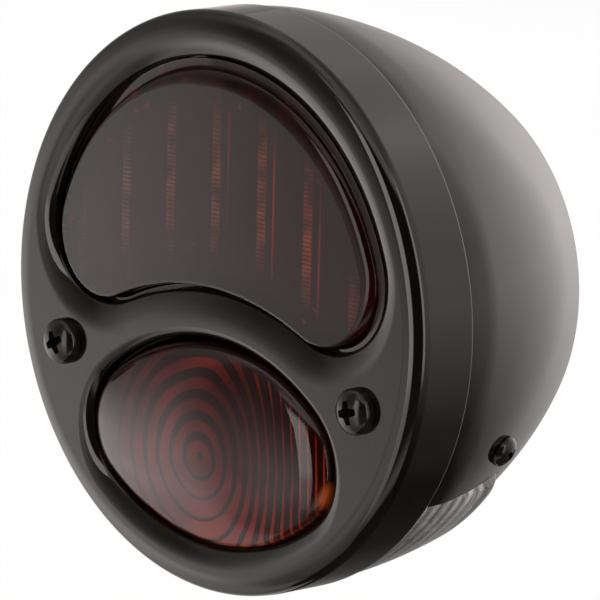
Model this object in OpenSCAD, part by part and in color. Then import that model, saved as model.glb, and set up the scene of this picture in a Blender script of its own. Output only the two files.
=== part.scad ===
// Round two-lens tail light with a licence plate window, all sizes in millimetres.
// The back mounting face is the XZ plane, +Z is up and the lenses face -Y.

/* [Housing] */
// Outer diameter of the door and of the bowl's rim
lamp_d = 108; // [106:0.5:112]
// Depth from the back face to the front of the door
lamp_depth = 61; // [60:0.5:66]
// Sheet thickness of the bowl
bowl_sheet = 1; // [0.8:0.1:1.3]
// Radius of the flat on the back of the bowl
back_flat_r = 32.2; // [31.6:0.1:34]
// Radius of the rounded edge round that flat
back_corner_r = 6; // [5:0.25:8]
// Radius of the bowl's swept side
bowl_side_r = 95; // [88:1:110]
// Length of the neck that enters the door
neck_len = 10.2; // [8.5:0.1:10.4]
// Radial clearance between the neck and the door
neck_gap = 0.3; // [0.2:0.05:0.6]
// Gap at the seam between the bowl and the door
seam_gap = 0.3; // [0.2:0.05:0.6]
// Width of the rim turned in at the front of the neck
rim_w = 3.2; // [2.6:0.1:3.6]

/* [Door] */
// Depth of the door from its face to its rear edge
door_depth = 14; // [13:0.25:16]
// Sheet thickness of the door
door_sheet = 1; // [0.8:0.1:1.3]
// Radius of the door's rounded front edge
door_corner_r = 2.6; // [2:0.1:3]
// Radius of the rolled lip round each lens
lip_r = 3; // [2.4:0.1:3.2]
// Straight wall behind the rolled lip
lip_wall = 1; // [0.6:0.1:1.6]
// Clearance of the rubber door seal from the door
seal_gap = 0.3; // [0.1:0.05:0.5]
// Width of the rubber door seal
seal_w = 1.7; // [1.2:0.1:2]

/* [Lens openings] */
// Width of the door's face outside the upper, kidney-shaped opening
upper_border = 8.4; // [8:0.1:9.2]
// Height of the arch at the foot of the upper opening
upper_arch_top = 2.2; // [1.5:0.1:3]
// Radius of that arch
upper_arch_r = 57; // [52:0.5:64]
// Corner radius of the upper opening
upper_corner_r = 14.2; // [13.8:0.1:15]
// Width of the door's face outside the lower, lemon-shaped opening
lower_border = 8.65; // [8:0.05:9.4]
// Height of the crest of the lower opening
lower_crest = -6.3; // [-7.2:0.1:-5.8]
// Radius of that crest
lower_crest_r = 44; // [41:0.5:48]
// Corner radius of the lower opening
lower_corner_r = 13.1; // [12.8:0.1:14]

/* [Lenses] */
// Clearance between a lens and its lip
lens_gap = 0.4; // [0.3:0.05:0.6]
// Width of the lens flange behind the lip
lens_flange = 2.5; // [2:0.1:2.8]
// Thickness of the lens flange
lens_flange_t = 2; // [1.5:0.1:2.5]
// Thickness of the rubber lens gaskets
lens_gasket_t = 1; // [0.6:0.1:1.4]
// Glass thickness
lens_wall = 4; // [3.4:0.1:4.5]
// Width of the bevel round the upper lens
upper_bevel = 4; // [3:0.1:5]
// Height of the bevel's top above the door face
upper_rise = 1.5; // [0.8:0.1:2.5]
// Depth of the bevel's foot below the door face
upper_foot = 2.4; // [1.5:0.1:3]
// Crown of the upper lens above its bevel
upper_crown = 1.2; // [0.6:0.1:2]
// Height of the lower lens above the door face
lower_rise = 4.6; // [3.5:0.1:6]
// Depth of the dome's foot below the door face
lower_foot = 0.9; // [0.3:0.1:2]

/* [Lens retainer] */
// Sheet thickness of the retainer plate
retainer_t = 1.2; // [1:0.1:1.5]
// Radial clearance of the retainer inside the turned-in rim
retainer_gap = 1.1; // [0.8:0.1:1.6]
// How far the retainer covers the back of each lens flange
retainer_cover = 1.5; // [1:0.1:2.5]
// Radius of the retainer studs
retainer_stud_r = 1.5; // [1.25:0.05:1.6]
// Free thread behind each retainer nut
retainer_stud_spare = 1.6; // [1:0.1:3]
// Distance of the outer studs from the lower opening
outer_stud_gap = 4.5; // [4.3:0.1:5.5]
// Direction of the outer studs from the lower opening's corners
outer_stud_angle = 12; // [6:1:16]

/* [Door screws] */
// Distance of each door screw from the door's outside
door_screw_inset = 12.8; // [12:0.1:13.6]
// Angle of the door screws below the middle
door_screw_dip = 18.3; // [17:0.1:20]
// Shank radius of the door screws
door_screw_r = 2; // [1.75:0.05:2.25]
// Length of the door screws under the head
door_screw_len = 25; // [23:0.5:28]
// Head radius of the door screws
door_head_r = 4.25; // [3.8:0.05:4.5]
// Head height of the door screws
door_head_h = 2.8; // [2.4:0.1:3.2]
// Distance from the door face back to the threaded tabs
tab_depth = 19; // [18.5:0.25:21]
// Thickness of the threaded tabs
tab_t = 2; // [1.6:0.1:2.5]
// Width of the threaded tabs
tab_w = 9; // [8:0.25:10]
// Length of each tab's leg along the bowl wall
tab_leg = 8; // [6:0.25:9]
// Thickness of that leg
tab_leg_t = 1.5; // [1:0.1:2]
// Radial clearance of the door screws in their threads
thread_fit = 0.05; // [0.02:0.01:0.09]
// Radial clearance of the door screws in the sheet
screw_clear = 0.3; // [0.2:0.05:0.6]

/* [Licence plate window] */
// Half the angle that the window covers at the bottom of the bowl
window_half_angle = 53.4; // [48:0.2:54.5]
// Length of the window back from the seam
window_len = 22; // [20:0.25:23]
// Clearance round the window glass
window_fit = 0.2; // [0.1:0.05:0.4]
// How far the glass stands out near its rear edge
window_bulge = 1.5; // [0.8:0.1:2]
// Radius of the glass along the lamp's axis
window_arc_r = 110; // [90:5:160]
// Chamfer at the glass's rear edge
window_chamfer = 2; // [1:0.1:2.4]
// Width of the hidden flange of the glass
window_flange = 2.5; // [1.8:0.1:2.6]
// Thickness of that flange
window_flange_t = 1.5; // [1.2:0.1:2]
// Thickness of the window gasket
window_gasket_t = 0.8; // [0.6:0.1:1.2]
// Number of light-spreading flutes inside the glass
flute_count = 6; // [4:1:7]
// Radius of each flute
flute_r = 1.6; // [1.2:0.1:1.8]
// Depth of each flute
flute_depth = 0.6; // [0.3:0.05:0.7]
// Thickness of the spring strap behind the glass
strap_t = 0.8; // [0.6:0.1:1.2]
// Width of the spring strap
strap_w = 6; // [5:0.25:7]
// Width of the threaded pads at the strap's ends
pad_w = 7; // [6:0.25:7.5]
// Distance along the wall from the window to each side screw
side_screw_arc = 7.9; // [7.6:0.1:8.4]
// Distance of the side screws in front of the window's rear edge
side_screw_inset = 4.8; // [4.5:0.1:6]
// Shank radius of the side screws
side_screw_r = 1.5; // [1.25:0.05:1.7]
// Head radius of the side screws
side_head_r = 3; // [2.6:0.05:3.2]
// Head height of the side screws
side_head_h = 2.2; // [1.8:0.1:2.6]

/* [Rear mounting] */
// Distance between the two mounting studs
stud_spacing = 38.1; // [37:0.1:40]
// Radius of the mounting studs
stud_r = 3.175; // [3:0.025:3.2]
// Length of the studs behind the back face
stud_len = 10; // [8:0.5:14]
// Radius of the stud heads inside the bowl
stud_head_r = 4.5; // [4.2:0.1:4.8]
// Height of the stud heads
stud_head_h = 2.2; // [1.6:0.1:3]
// Width of the collar that centres each stud in the sheet
stud_collar = 0.4; // [0.3:0.05:0.8]
// Radial clearance of that collar in the sheet
stud_clear = 0.15; // [0.1:0.01:0.3]
// Clearance of the wire grommet from the socket plate
inlet_gap = 0.5; // [0.3:0.05:0.8]
// Bore radius of the wire grommet
inlet_r = 3; // [2.5:0.1:3.4]
// Rubber thickness round that bore
grommet_wall = 1.5; // [1:0.1:1.7]
// Flange width of the wire grommet
grommet_flange = 2; // [1.4:0.1:2.2]
// Flange thickness of the wire grommet
grommet_flange_t = 2.5; // [1.5:0.1:3]

/* [Sockets and bulbs] */
// Height of the upper bulb's axis
upper_bulb_y = 18; // [17:0.25:18.5]
// Height of the lower bulb's axis
lower_bulb_y = -20; // [-20.5:0.25:-19]
// Thickness of the socket plate
plate_t = 1.2; // [1:0.1:1.6]
// Width of the socket plate
plate_w = 26; // [25:0.25:28]
// Width of the socket plate's cross arm
arm_w = 13; // [12:0.25:14]
// Radius of the bulb caps
cap_r = 7.5; // [7.2:0.05:7.6]
// Length of the bulb caps
cap_len = 17; // [15:0.5:18]
// Radial clearance of the bulb caps in the sockets
cap_fit = 0.25; // [0.15:0.05:0.4]
// Wall thickness of the sockets
socket_wall = 0.65; // [0.5:0.05:0.9]
// Depth of the sockets
socket_len = 21.8; // [21:0.1:23]
// Flange radius of the sockets
socket_flange_r = 12; // [11.8:0.1:12.4]
// Flange thickness of the sockets
socket_flange_t = 1; // [0.8:0.1:1.4]
// Sheet thickness of the bulb caps
cap_sheet = 0.5; // [0.4:0.05:0.7]
// Height of the contact under each bulb cap
bulb_contact_h = 1.1; // [0.8:0.1:1.6]
// Radius of the glass of each bulb
bulb_r = 9.5; // [8:0.1:10]
// Wall thickness of that glass
bulb_glass_t = 0.7; // [0.5:0.05:1]
// Depth of the glass in its cap
glass_hold = 3; // [2:0.25:5]
// Height of the stem that carries the filament
stem_h = 4; // [3:0.25:5]
// Radius of that stem's foot
stem_r = 3; // [2.4:0.1:3.6]
// Distance between the filament's wires
filament_w = 4.8; // [3.6:0.1:5.6]
// Thickness of the filament's wires
filament_wire = 0.6; // [0.4:0.05:0.8]
// Overall length of each bulb
bulb_len = 36.5; // [35.5:0.25:38]
// Radius of the bayonet pins
pin_r = 1; // [0.8:0.05:1.1]
// Distance of the pins from the bulb's rear end
pin_height = 7.7; // [7:0.1:8]
// Length of each pin outside the cap
pin_len = 1.1; // [0.95:0.05:1.4]
// Travel of a bulb pressed into its socket
press_travel = 1.8; // [1.2:0.1:2.2]
// Play of the pins in their slots
pin_play = 0.25; // [0.15:0.05:0.4]
// Angle that a bulb is turned between slot and latch
latch_angle = 28; // [24:1:34]
// Thickness of the insulator at the foot of each socket
insulator_t = 1.5; // [1:0.1:2]
// Length of the contact springs
spring_len = 6; // [5.5:0.1:6.5]
// Coil radius of the contact springs
spring_r = 4.2; // [3.6:0.1:5]
// Wire diameter of the contact springs
spring_wire = 0.6; // [0.4:0.05:0.7]
// Number of turns in the contact springs
spring_turns = 4; // [3:1:5]
// Thickness of the sliding contact discs
disc_t = 1.5; // [1.2:0.1:2]
// Radial clearance of the contact discs in the sockets
disc_fit = 0.3; // [0.2:0.05:0.5]
// Radius of the contact tips
tip_r = 2; // [1.5:0.1:2.5]
// Height of the contact tips above their discs
tip_h = 1; // [0.6:0.1:1.4]
// Gap between the contact tips and the bulbs
tip_gap = 0.1; // [0.05:0.01:0.2]

/* [Light divider] */
// Radius of the curved partition between the two chambers
divider_r = 60; // [50:1:75]
// Half width of the partition
divider_half_w = 30; // [24:0.5:30.5]
// Sheet thickness of the partition
divider_t = 0.8; // [0.6:0.1:1.2]
// Clearance between the partition and the lens retainer
divider_gap = 0.8; // [0.5:0.1:1.5]
// Width of the partition's foot on the socket plate
foot_w = 5; // [4:0.25:6]
// Half length of that foot
foot_half_l = 11; // [10:0.25:12]
// Shank radius of the rivets
rivet_r = 1.2; // [0.8:0.05:1.3]
// Head radius of the rivets
rivet_head_r = 1.7; // [1.4:0.05:1.8]
// Head height of the rivets
rivet_head_h = 0.7; // [0.5:0.1:1]

/* [Hidden] */

// Facets of large and small round shapes
fine = 120;
small = 32;
// Reach of cutting shapes past the part
past = 60;
// Overlap that makes a cut or a join certain
eps = 0.01;
// How far the rolled lip's joints are let in under the surface they run into
lip_let = 0.02;
// Angle by which the lip's corners run into its long sides
lip_overrun = 1.5;

// Levels along the lamp's axis, measured forward from the back face
seam_z = lamp_depth - door_depth;
bowl_top = seam_z - seam_gap;
neck_top = seam_z + neck_len;
lip_end = lamp_depth - lip_r - lip_wall;
flange_front = lip_end - lens_gasket_t;
flange_back = flange_front - lens_flange_t;
retainer_back = flange_back - retainer_t;
nut_h = 2 * retainer_stud_r * 0.8;
nut_r = retainer_stud_r * 2.1;
stud_tail = retainer_back - nut_h - retainer_stud_spare;
plate_top = bowl_sheet + plate_t;

// Place of the right mounting stud
stud = [stud_spacing / 2, 0];

// Place of the wire inlet, in a corner that the socket plate leaves free
grommet_r = inlet_r + grommet_wall + grommet_flange;
inlet = [plate_w / 2 + grommet_r + inlet_gap, -arm_w / 2 - grommet_r - inlet_gap];

// Radii of the rim, the neck and its turned-in edge
rim_r = lamp_d / 2;
upper_r = rim_r - upper_border;
lower_r = rim_r - lower_border;
neck_r = rim_r - door_sheet - neck_gap;
rim_in_r = neck_r - rim_w;
retainer_r = rim_in_r - retainer_gap;

// Place of the right door screw
door_screw = polar([0, 0], rim_r - door_screw_inset, -door_screw_dip);

// Centres of the bowl's rounded edge and of its swept side
edge_c = [back_flat_r, back_corner_r];
side_c = ring_centre([rim_r, bowl_top], bowl_side_r, edge_c, bowl_side_r - back_corner_r);

// Centres of the upper opening's arch and right corner
arch_c = [0, upper_arch_top - upper_arch_r];
upper_corner = corner_centre(upper_r - upper_corner_r, arch_c[1], upper_arch_r + upper_corner_r);
// Centres of the lower opening's crest and right corner
crest_c = [0, lower_crest - lower_crest_r];
lower_corner = corner_centre(lower_r - lower_corner_r, crest_c[1], lower_crest_r - lower_corner_r);

// Places of the retainer studs: on the land between the openings, and outside the lower one
land = norm(upper_corner - lower_corner) - upper_corner_r - lower_corner_r;
inner_stud = upper_corner + (upper_corner_r + land / 2) * unit(lower_corner - upper_corner);
outer_stud = polar(lower_corner, lower_corner_r + outer_stud_gap, outer_stud_angle);
retainer_stud_at = [for (p = [inner_stud, outer_stud], side = [-1, 1]) [side * p[0], p[1]]];

// Window levels and angles
window_z = bowl_top - window_len;
window_mid_r = bowl_r(window_z + window_len / 2);
flange_half_angle = window_half_angle + arc_angle(window_flange, window_mid_r);
glass_half_angle = window_half_angle - arc_angle(window_fit, window_mid_r);
gasket_in = bowl_sheet + window_gasket_t;
glass_in = gasket_in + window_flange_t;
strap_in = glass_in + strap_t;
side_screw_z = window_z + side_screw_inset;
side_screw_angle = 90 - window_half_angle - arc_angle(side_screw_arc, bowl_r(side_screw_z));
pad_half_angle = arc_angle(pad_w / 2, bowl_r(side_screw_z) - strap_in);
glass_front = [rim_r + seam_gap / 2, bowl_top];
glass_rear = [bowl_r(side_screw_z) + window_bulge, side_screw_z];
glass_c = ring_centre(glass_front, window_arc_r, glass_rear, window_arc_r);

// Levels of the bulbs and their contacts
spring_z = plate_top + insulator_t;
disc_z = spring_z + spring_len;
tip_z = disc_z + disc_t + tip_h;
bulb_z = tip_z + tip_gap;
cap_z = bulb_z + bulb_contact_h;
pin_z = bulb_z + pin_height;
socket_r = cap_r + cap_fit;
socket_out_r = socket_r + socket_wall;
rivet_x = (socket_out_r + socket_flange_r) / 2;
bulb_ball_z = bulb_z + bulb_len - bulb_r;
bulb_neck_r = cap_r - cap_sheet;
glass_z = cap_z + cap_len - glass_hold;

// Apex of the partition: halfway across the land between the openings
divider_y = (upper_arch_top + lower_crest) / 2;
divider_c = [0, divider_y - divider_r];
divider_top = retainer_back - divider_gap;

function unit(v) = v / norm(v);
function polar(c, r, a) = c + r * [cos(a), sin(a)];
function heading(v) = atan2(v[1], v[0]);
function arc_angle(len, r) = len / r * 180 / PI;
function raise(v, z) = [v[0], v[1], z];

// Point at distance ra from a and rb from b, on the lamp axis's side of both
function ring_centre(a, ra, b, rb) =
    let (d = norm(a - b), u = (a - b) / d, t = (rb * rb - ra * ra + d * d) / (2 * d))
    b + t * u + sqrt(rb * rb - t * t) * [-u[1], u[0]];

// Right-hand point at distance ra from the origin and rb from [0, y]
function corner_centre(ra, y, rb) =
    let (cy = (ra * ra + y * y - rb * rb) / (2 * y))
    [sqrt(ra * ra - cy * cy), cy];

// Radius of the bowl's outside, and the lean of its surface, at a level
function bowl_r(z) = side_c[0] + sqrt(bowl_side_r * bowl_side_r - pow(z - side_c[1], 2));
function bowl_lean(z) = asin((z - side_c[1]) / bowl_side_r);
// Radius of the window glass's outside at a level
function glass_r(z) = glass_c[0] + sqrt(window_arc_r * window_arc_r - pow(z - glass_c[1], 2));

// Arcs of an opening, anticlockwise: centre, radius, first angle, last angle, +1 bulging out or -1 in
upper_a = heading(upper_corner);
upper_b = heading(arch_c - upper_corner);
upper_c = heading(upper_corner - arch_c);
upper_arcs = [
    [upper_corner, upper_corner_r, upper_b, upper_a, 1],
    [[0, 0], upper_r, upper_a, 180 - upper_a, 1],
    [[-upper_corner[0], upper_corner[1]], upper_corner_r, 180 - upper_a, 180 - upper_b, 1],
    [arch_c, upper_arch_r, 180 - upper_c, upper_c, -1]
];
lower_a = heading(lower_corner);
lower_b = heading(lower_corner - crest_c);
lower_arcs = [
    [lower_corner, lower_corner_r, lower_a, lower_b, 1],
    [crest_c, lower_crest_r, lower_b, 180 - lower_b, 1],
    [[-lower_corner[0], lower_corner[1]], lower_corner_r, 180 - lower_b, 180 - lower_a, 1],
    [[0, 0], lower_r, 180 - lower_a, 360 + lower_a, 1]
];

// Points round an opening, moved in by inset, at most so many degrees and millimetres apart
step_angle = 9;
step_len = 4;
function arc_steps(arc) =
    let (turn = abs(arc[3] - arc[2]))
    ceil(max(turn / step_angle, turn * PI / 180 * arc[1] / step_len));
function loop(arcs, inset) = [
    for (arc = arcs, i = [0 : arc_steps(arc) - 1])
    polar(arc[0], arc[1] - arc[4] * inset, arc[2] + (arc[3] - arc[2]) * i / arc_steps(arc))
];
function raised(points, z) = [for (p = points) raise(p, z)];
function shrunk(points, c, k) = [for (p = points) c + k * (p - c)];

// Turns a shape built along the lamp's axis so that it faces the front
module facing_front() {
    rotate([90, 0, 0]) children();
}

module spin() {
    rotate_extrude($fn = fine) children();
}

// Part of a turned shape, from angle a to angle b
module spin_part(a, b) {
    rotate([0, 0, a]) rotate_extrude(angle = b - a, $fn = fine) children();
}

module slab(z, t) {
    translate([0, 0, z]) linear_extrude(t) children();
}

module peg(p, r, z, h) {
    translate([p[0], p[1], z]) cylinder(r = r, h = h, $fn = small);
}

module both_sides() {
    for (side = [0, 1]) mirror([side, 0, 0]) children();
}

// Places a shape on the bowl's outside, with its own Z along the outward normal
module on_bowl(angle, z) {
    rotate([0, 0, angle]) translate([bowl_r(z), 0, z]) rotate([0, 90 - bowl_lean(z), 0]) children();
}

module both_side_screws() {
    for (angle = [-side_screw_angle, side_screw_angle - 180]) on_bowl(angle, side_screw_z) children();
}

// Outline of each lens opening, moved out by grow
module upper_outline(grow) {
    polygon(loop(upper_arcs, -grow));
}

module lower_outline(grow) {
    polygon(loop(lower_arcs, -grow));
}

// Half section of the bowl's body, moved in from the outside
module bowl_section(inset) {
    out = unit(edge_c - side_c);
    difference() {
        intersection() {
            translate(side_c) circle(r = bowl_side_r - inset, $fn = fine * 2);
            translate([0, inset]) square([rim_r, bowl_top - inset]);
        }
        difference() {
            polygon([edge_c, edge_c - [0, past], edge_c + [past, -past], edge_c + past * out]);
            translate(edge_c) circle(r = back_corner_r - inset, $fn = fine);
        }
    }
}

// Band that follows the bowl wall between two insets and two levels
module wall_band(inset_a, inset_b, z_a, z_b) {
    intersection() {
        difference() {
            bowl_section(inset_a);
            bowl_section(inset_b);
        }
        translate([0, z_a]) square([rim_r, z_b - z_a]);
    }
}

module window_opening() {
    spin_part(-90 - window_half_angle, -90 + window_half_angle) {
        translate([neck_r + neck_gap / 2, window_z]) square([past, window_len + eps]);
        translate([back_flat_r, window_z]) square([past, window_len - bowl_sheet - neck_gap / 2]);
    }
}

module housing_bowl() {
    color("dimgray") difference() {
        spin() {
            difference() {
                bowl_section(0);
                bowl_section(bowl_sheet);
            }
            intersection() {
                bowl_section(0);
                translate([neck_r - bowl_sheet, bowl_top - bowl_sheet]) square([past, bowl_sheet]);
            }
            translate([neck_r - bowl_sheet, bowl_top - bowl_sheet])
                square([bowl_sheet, neck_top - bowl_top + bowl_sheet]);
            translate([rim_in_r, neck_top - bowl_sheet]) square([rim_w, bowl_sheet]);
        }
        window_opening();
        both_side_screws() translate([0, 0, -past / 4])
            cylinder(r = side_screw_r + screw_clear, h = past / 2, $fn = small);
        both_sides() peg(stud, stud_r + stud_collar + stud_clear, -past, past + plate_top);
        peg(inlet, inlet_r + grommet_wall, -past, past + plate_top);
    }
}

module door_screw_tabs() {
    z = lamp_depth - tab_depth;
    p = door_screw;
    half_angle = arc_angle(tab_w / 2, rim_r);
    color("silver") both_sides() difference() {
        union() {
            intersection() {
                spin() bowl_section(bowl_sheet);
                slab(z - tab_t, tab_t) translate(p) {
                    circle(r = tab_w / 2, $fn = small);
                    rotate(heading(p)) translate([0, -tab_w / 2]) square([past, tab_w]);
                }
            }
            spin_part(heading(p) - half_angle, heading(p) + half_angle)
                wall_band(bowl_sheet, bowl_sheet + tab_leg_t, z - tab_leg, z);
        }
        peg(p, door_screw_r + thread_fit, z - past / 2, past);
    }
}

module door_seal() {
    color("#1a1a1a") spin() translate([rim_in_r, neck_top])
        square([seal_w, lamp_depth - door_sheet - seal_gap - neck_top]);
}

module window_lens() {
    flute_pitch = (window_len - 2 * window_chamfer) / flute_count;
    color("#dfe6e6", 0.6) {
        difference() {
            spin_part(-90 - glass_half_angle, -90 + glass_half_angle) difference() {
                intersection() {
                    translate(glass_c) circle(r = window_arc_r, $fn = fine * 2);
                    union() {
                        translate([back_flat_r, window_z + window_fit])
                            square([past, window_len - bowl_sheet - neck_gap - window_fit]);
                        translate([neck_r + neck_gap, window_z + window_fit])
                            square([past, window_len - 2 * window_fit]);
                    }
                }
                bowl_section(glass_in);
                translate([glass_r(window_z + window_fit), window_z + window_fit]) rotate(45)
                    square(window_chamfer * sqrt(2), center = true);
                for (i = [0 : flute_count - 1])
                    let (z = window_z + window_chamfer + (i + 0.5) * flute_pitch)
                    translate([bowl_r(z) - glass_in - flute_r + flute_depth, z]) circle(r = flute_r, $fn = small);
            }
        }
        difference() {
            spin_part(-90 - flange_half_angle, -90 + flange_half_angle)
                wall_band(gasket_in, glass_in, window_z - window_flange, bowl_top - bowl_sheet - neck_gap);
            spin_part(-90 - glass_half_angle + 1, -90 + glass_half_angle - 1)
                translate([back_flat_r, window_z + window_fit + 1]) square([past, window_len]);
        }
    }
}

module window_gasket() {
    color("#1a1a1a") difference() {
        spin_part(-90 - flange_half_angle, -90 + flange_half_angle)
            wall_band(bowl_sheet, gasket_in, window_z - window_flange, bowl_top - bowl_sheet - neck_gap);
        spin_part(-90 - window_half_angle, -90 + window_half_angle)
            translate([back_flat_r, window_z]) square([past, window_len]);
    }
}

module window_strap() {
    z_a = side_screw_z - strap_w / 2;
    z_b = side_screw_z + strap_w / 2;
    end_angle = side_screw_angle - pad_half_angle;
    color("silver") difference() {
        union() {
            spin_part(-180 + end_angle, -end_angle) wall_band(glass_in, strap_in, z_a, z_b);
            for (angle = [-side_screw_angle, side_screw_angle - 180])
                spin_part(angle - pad_half_angle, angle + pad_half_angle)
                    wall_band(bowl_sheet, strap_in, z_a, z_b);
        }
        both_side_screws() translate([0, 0, -past / 4]) cylinder(r = side_screw_r, h = past / 2, $fn = small);
    }
}

// Pan-head screw with a cross recess, its head standing up from level zero
module pan_screw(shank_r, shank_len, head_r, head_h) {
    dome_h = head_h * 0.5;
    dome_r = (head_r * head_r + dome_h * dome_h) / (2 * dome_h);
    recess = [head_r * 1.15, head_r * 0.24, head_h];
    difference() {
        union() {
            rotate_extrude($fn = small) intersection() {
                square([head_r, head_h]);
                translate([0, head_h - dome_r]) circle(r = dome_r, $fn = fine);
            }
            translate([0, 0, -shank_len]) cylinder(r = shank_r, h = shank_len + eps, $fn = small);
        }
        for (turn = [0, 90]) rotate([0, 0, turn]) translate([0, 0, head_h]) cube(recess, center = true);
    }
}

module window_screws() {
    shank_len = strap_in + side_screw_r;
    color("#202020") both_side_screws() pan_screw(side_screw_r, shank_len, side_head_r, side_head_h);
}

module door_screws() {
    color("#202020") both_sides() translate(raise(door_screw, lamp_depth))
        pan_screw(door_screw_r, door_screw_len, door_head_r, door_head_h);
}

module mounting_studs() {
    color("silver") both_sides() {
        peg(stud, stud_r, -stud_len, stud_len + plate_top);
        peg(stud, stud_r + stud_collar, 0, plate_top + stud_head_h / 2);
        peg(stud, stud_head_r, plate_top, stud_head_h);
    }
}

module wire_grommet() {
    color("#1a1a1a") difference() {
        union() {
            peg(inlet, inlet_r + grommet_wall, 0, bowl_sheet + grommet_flange_t);
            peg(inlet, grommet_r, bowl_sheet, grommet_flange_t);
        }
        peg(inlet, inlet_r, -past, 2 * past);
    }
}

module rivet_holes(z) {
    for (y = [upper_bulb_y, lower_bulb_y]) both_sides() peg([rivet_x, y], rivet_r, z, past);
}

// Places of the rivets in the middle of the partition's foot
module divider_rivet_at() {
    x = foot_half_l - foot_w / 2;
    y = divider_c[1] + sqrt(pow(divider_r + foot_w * 0.6, 2) - x * x);
    both_sides() translate([x, y, 0]) children();
}

module socket_plate() {
    reach = back_flat_r - bowl_sheet / 2;
    color("silver") difference() {
        slab(bowl_sheet, plate_t) intersection() {
            circle(r = reach, $fn = fine);
            union() {
                square([plate_w, 2 * reach], center = true);
                square([2 * reach, arm_w], center = true);
            }
        }
        both_sides() peg(stud, stud_r + stud_collar + stud_clear, 0, past);
        rivet_holes(0);
        divider_rivet_at() cylinder(r = rivet_r, h = past, $fn = small);
    }
}

module rivet(foot, t) {
    translate([0, 0, foot]) cylinder(r = rivet_r, h = t + rivet_head_h / 2, $fn = small);
    translate([0, 0, foot + t]) cylinder(r = rivet_head_r, h = rivet_head_h, $fn = small);
}

module socket_rivets() {
    color("silver") for (y = [upper_bulb_y, lower_bulb_y]) both_sides()
        translate([rivet_x, y, 0]) rivet(bowl_sheet, plate_t + socket_flange_t);
}

module divider_rivets() {
    color("silver") divider_rivet_at() rivet(bowl_sheet, plate_t + divider_t);
}

// Arched strip between two radii about the partition's centre
module arched_strip(r_a, r_b, half_w) {
    intersection() {
        translate(divider_c) difference() {
            circle(r = r_b, $fn = fine * 2);
            circle(r = r_a, $fn = fine * 2);
        }
        translate([-half_w, divider_c[1] + divider_r / 2]) square([2 * half_w, divider_r]);
    }
}

module light_divider() {
    color("silver") difference() {
        union() {
            slab(plate_top, divider_top - plate_top) arched_strip(divider_r - divider_t, divider_r, divider_half_w);
            slab(plate_top, divider_t) arched_strip(divider_r - divider_t, divider_r + foot_w, foot_half_l);
        }
        divider_rivet_at() cylinder(r = rivet_r, h = past, $fn = small);
        for (p = retainer_stud_at) peg(p, nut_r + divider_gap, stud_tail - divider_gap, past);
    }
}

// Bayonet slots: turning channel, way in and latch, for two opposite pins
module bayonet_slots() {
    half = pin_r + pin_play;
    low = pin_z - press_travel - half;
    end_angle = arc_angle(half + pin_play, socket_r);
    for (turn = [0, 180]) rotate([0, 0, turn]) {
        spin_part(-end_angle, latch_angle + end_angle) translate([tip_r, low]) square([past, 2 * half]);
        rotate([0, 0, latch_angle]) translate([tip_r, -half, low + half]) cube([past, 2 * half, past]);
        translate([tip_r, -half, low + half]) cube([past, 2 * half, press_travel + half]);
    }
}

module socket() {
    color("silver") difference() {
        union() {
            translate([0, 0, plate_top]) cylinder(r = socket_out_r, h = socket_len, $fn = fine);
            slab(plate_top, socket_flange_t) intersection() {
                circle(r = socket_flange_r, $fn = fine);
                square([past, 2 * socket_out_r], center = true);
            }
        }
        translate([0, 0, plate_top - eps]) cylinder(r = socket_r, h = past, $fn = fine);
        both_sides() peg([rivet_x, 0], rivet_r, 0, past);
        bayonet_slots();
    }
}

module insulator() {
    color("saddlebrown") translate([0, 0, plate_top]) cylinder(r = socket_r, h = insulator_t, $fn = fine);
}

// Coil of round wire, one ring of points for each step of the helix
module contact_spring() {
    sides = 6;
    rings = spring_turns * 12;
    rise = (spring_len - spring_wire) / rings;
    points = [
        for (i = [0 : rings], k = [0 : sides - 1])
        let (r = spring_r + spring_wire / 2 * cos(k * 360 / sides), a = i * 360 * spring_turns / rings)
        [r * cos(a), r * sin(a), spring_z + spring_wire / 2 * (1 + sin(k * 360 / sides)) + i * rise]
    ];
    skin = [
        for (i = [0 : rings - 1], k = [0 : sides - 1], half = [0, 1])
        let (a = i * sides + k, b = i * sides + (k + 1) % sides)
        half == 0 ? [a, b, a + sides] : [b, b + sides, a + sides]
    ];
    first = [for (k = [1 : sides - 2]) [0, k + 1, k]];
    last = [for (k = [1 : sides - 2]) [for (j = [0, k, k + 1]) rings * sides + j]];
    echo(str("least gap between spring turns: ", rise * rings / spring_turns - spring_wire, " mm"));
    color("silver") polyhedron(points, concat(skin, first, last));
}

module contact_disc() {
    color("saddlebrown") translate([0, 0, disc_z]) difference() {
        cylinder(r = socket_r - disc_fit, h = disc_t, $fn = fine);
        translate([0, 0, -eps]) cylinder(r = tip_r, h = past, $fn = small);
    }
}

module contact_tip() {
    color("goldenrod") translate([0, 0, disc_z]) cylinder(r = tip_r, h = tip_z - disc_z, $fn = small);
}

module bulb_cap() {
    color("goldenrod") difference() {
        union() {
            translate([0, 0, cap_z]) cylinder(r = cap_r, h = cap_len, $fn = fine);
            translate([0, 0, pin_z]) rotate([0, 90, 0])
                cylinder(r = pin_r, h = 2 * (cap_r + pin_len), center = true, $fn = small);
        }
        translate([0, 0, cap_z - eps]) cylinder(r = cap_r - cap_sheet, h = past, $fn = fine);
    }
}

module bulb_contact() {
    color("#303030") {
        translate([0, 0, cap_z]) cylinder(r = cap_r - cap_sheet, h = cap_sheet * 4, $fn = fine);
        translate([0, 0, bulb_z]) cylinder(r = tip_r, h = bulb_contact_h + cap_sheet, $fn = small);
    }
}

// Half section of the bulb's envelope, moved in from the outside
module envelope_section(inset) {
    translate([0, glass_z + inset]) square([bulb_neck_r - inset, bulb_ball_z - glass_z - inset]);
    intersection() {
        translate([0, bulb_ball_z]) circle(r = bulb_r - inset, $fn = fine);
        translate([0, glass_z]) square([past, past]);
    }
}

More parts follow.
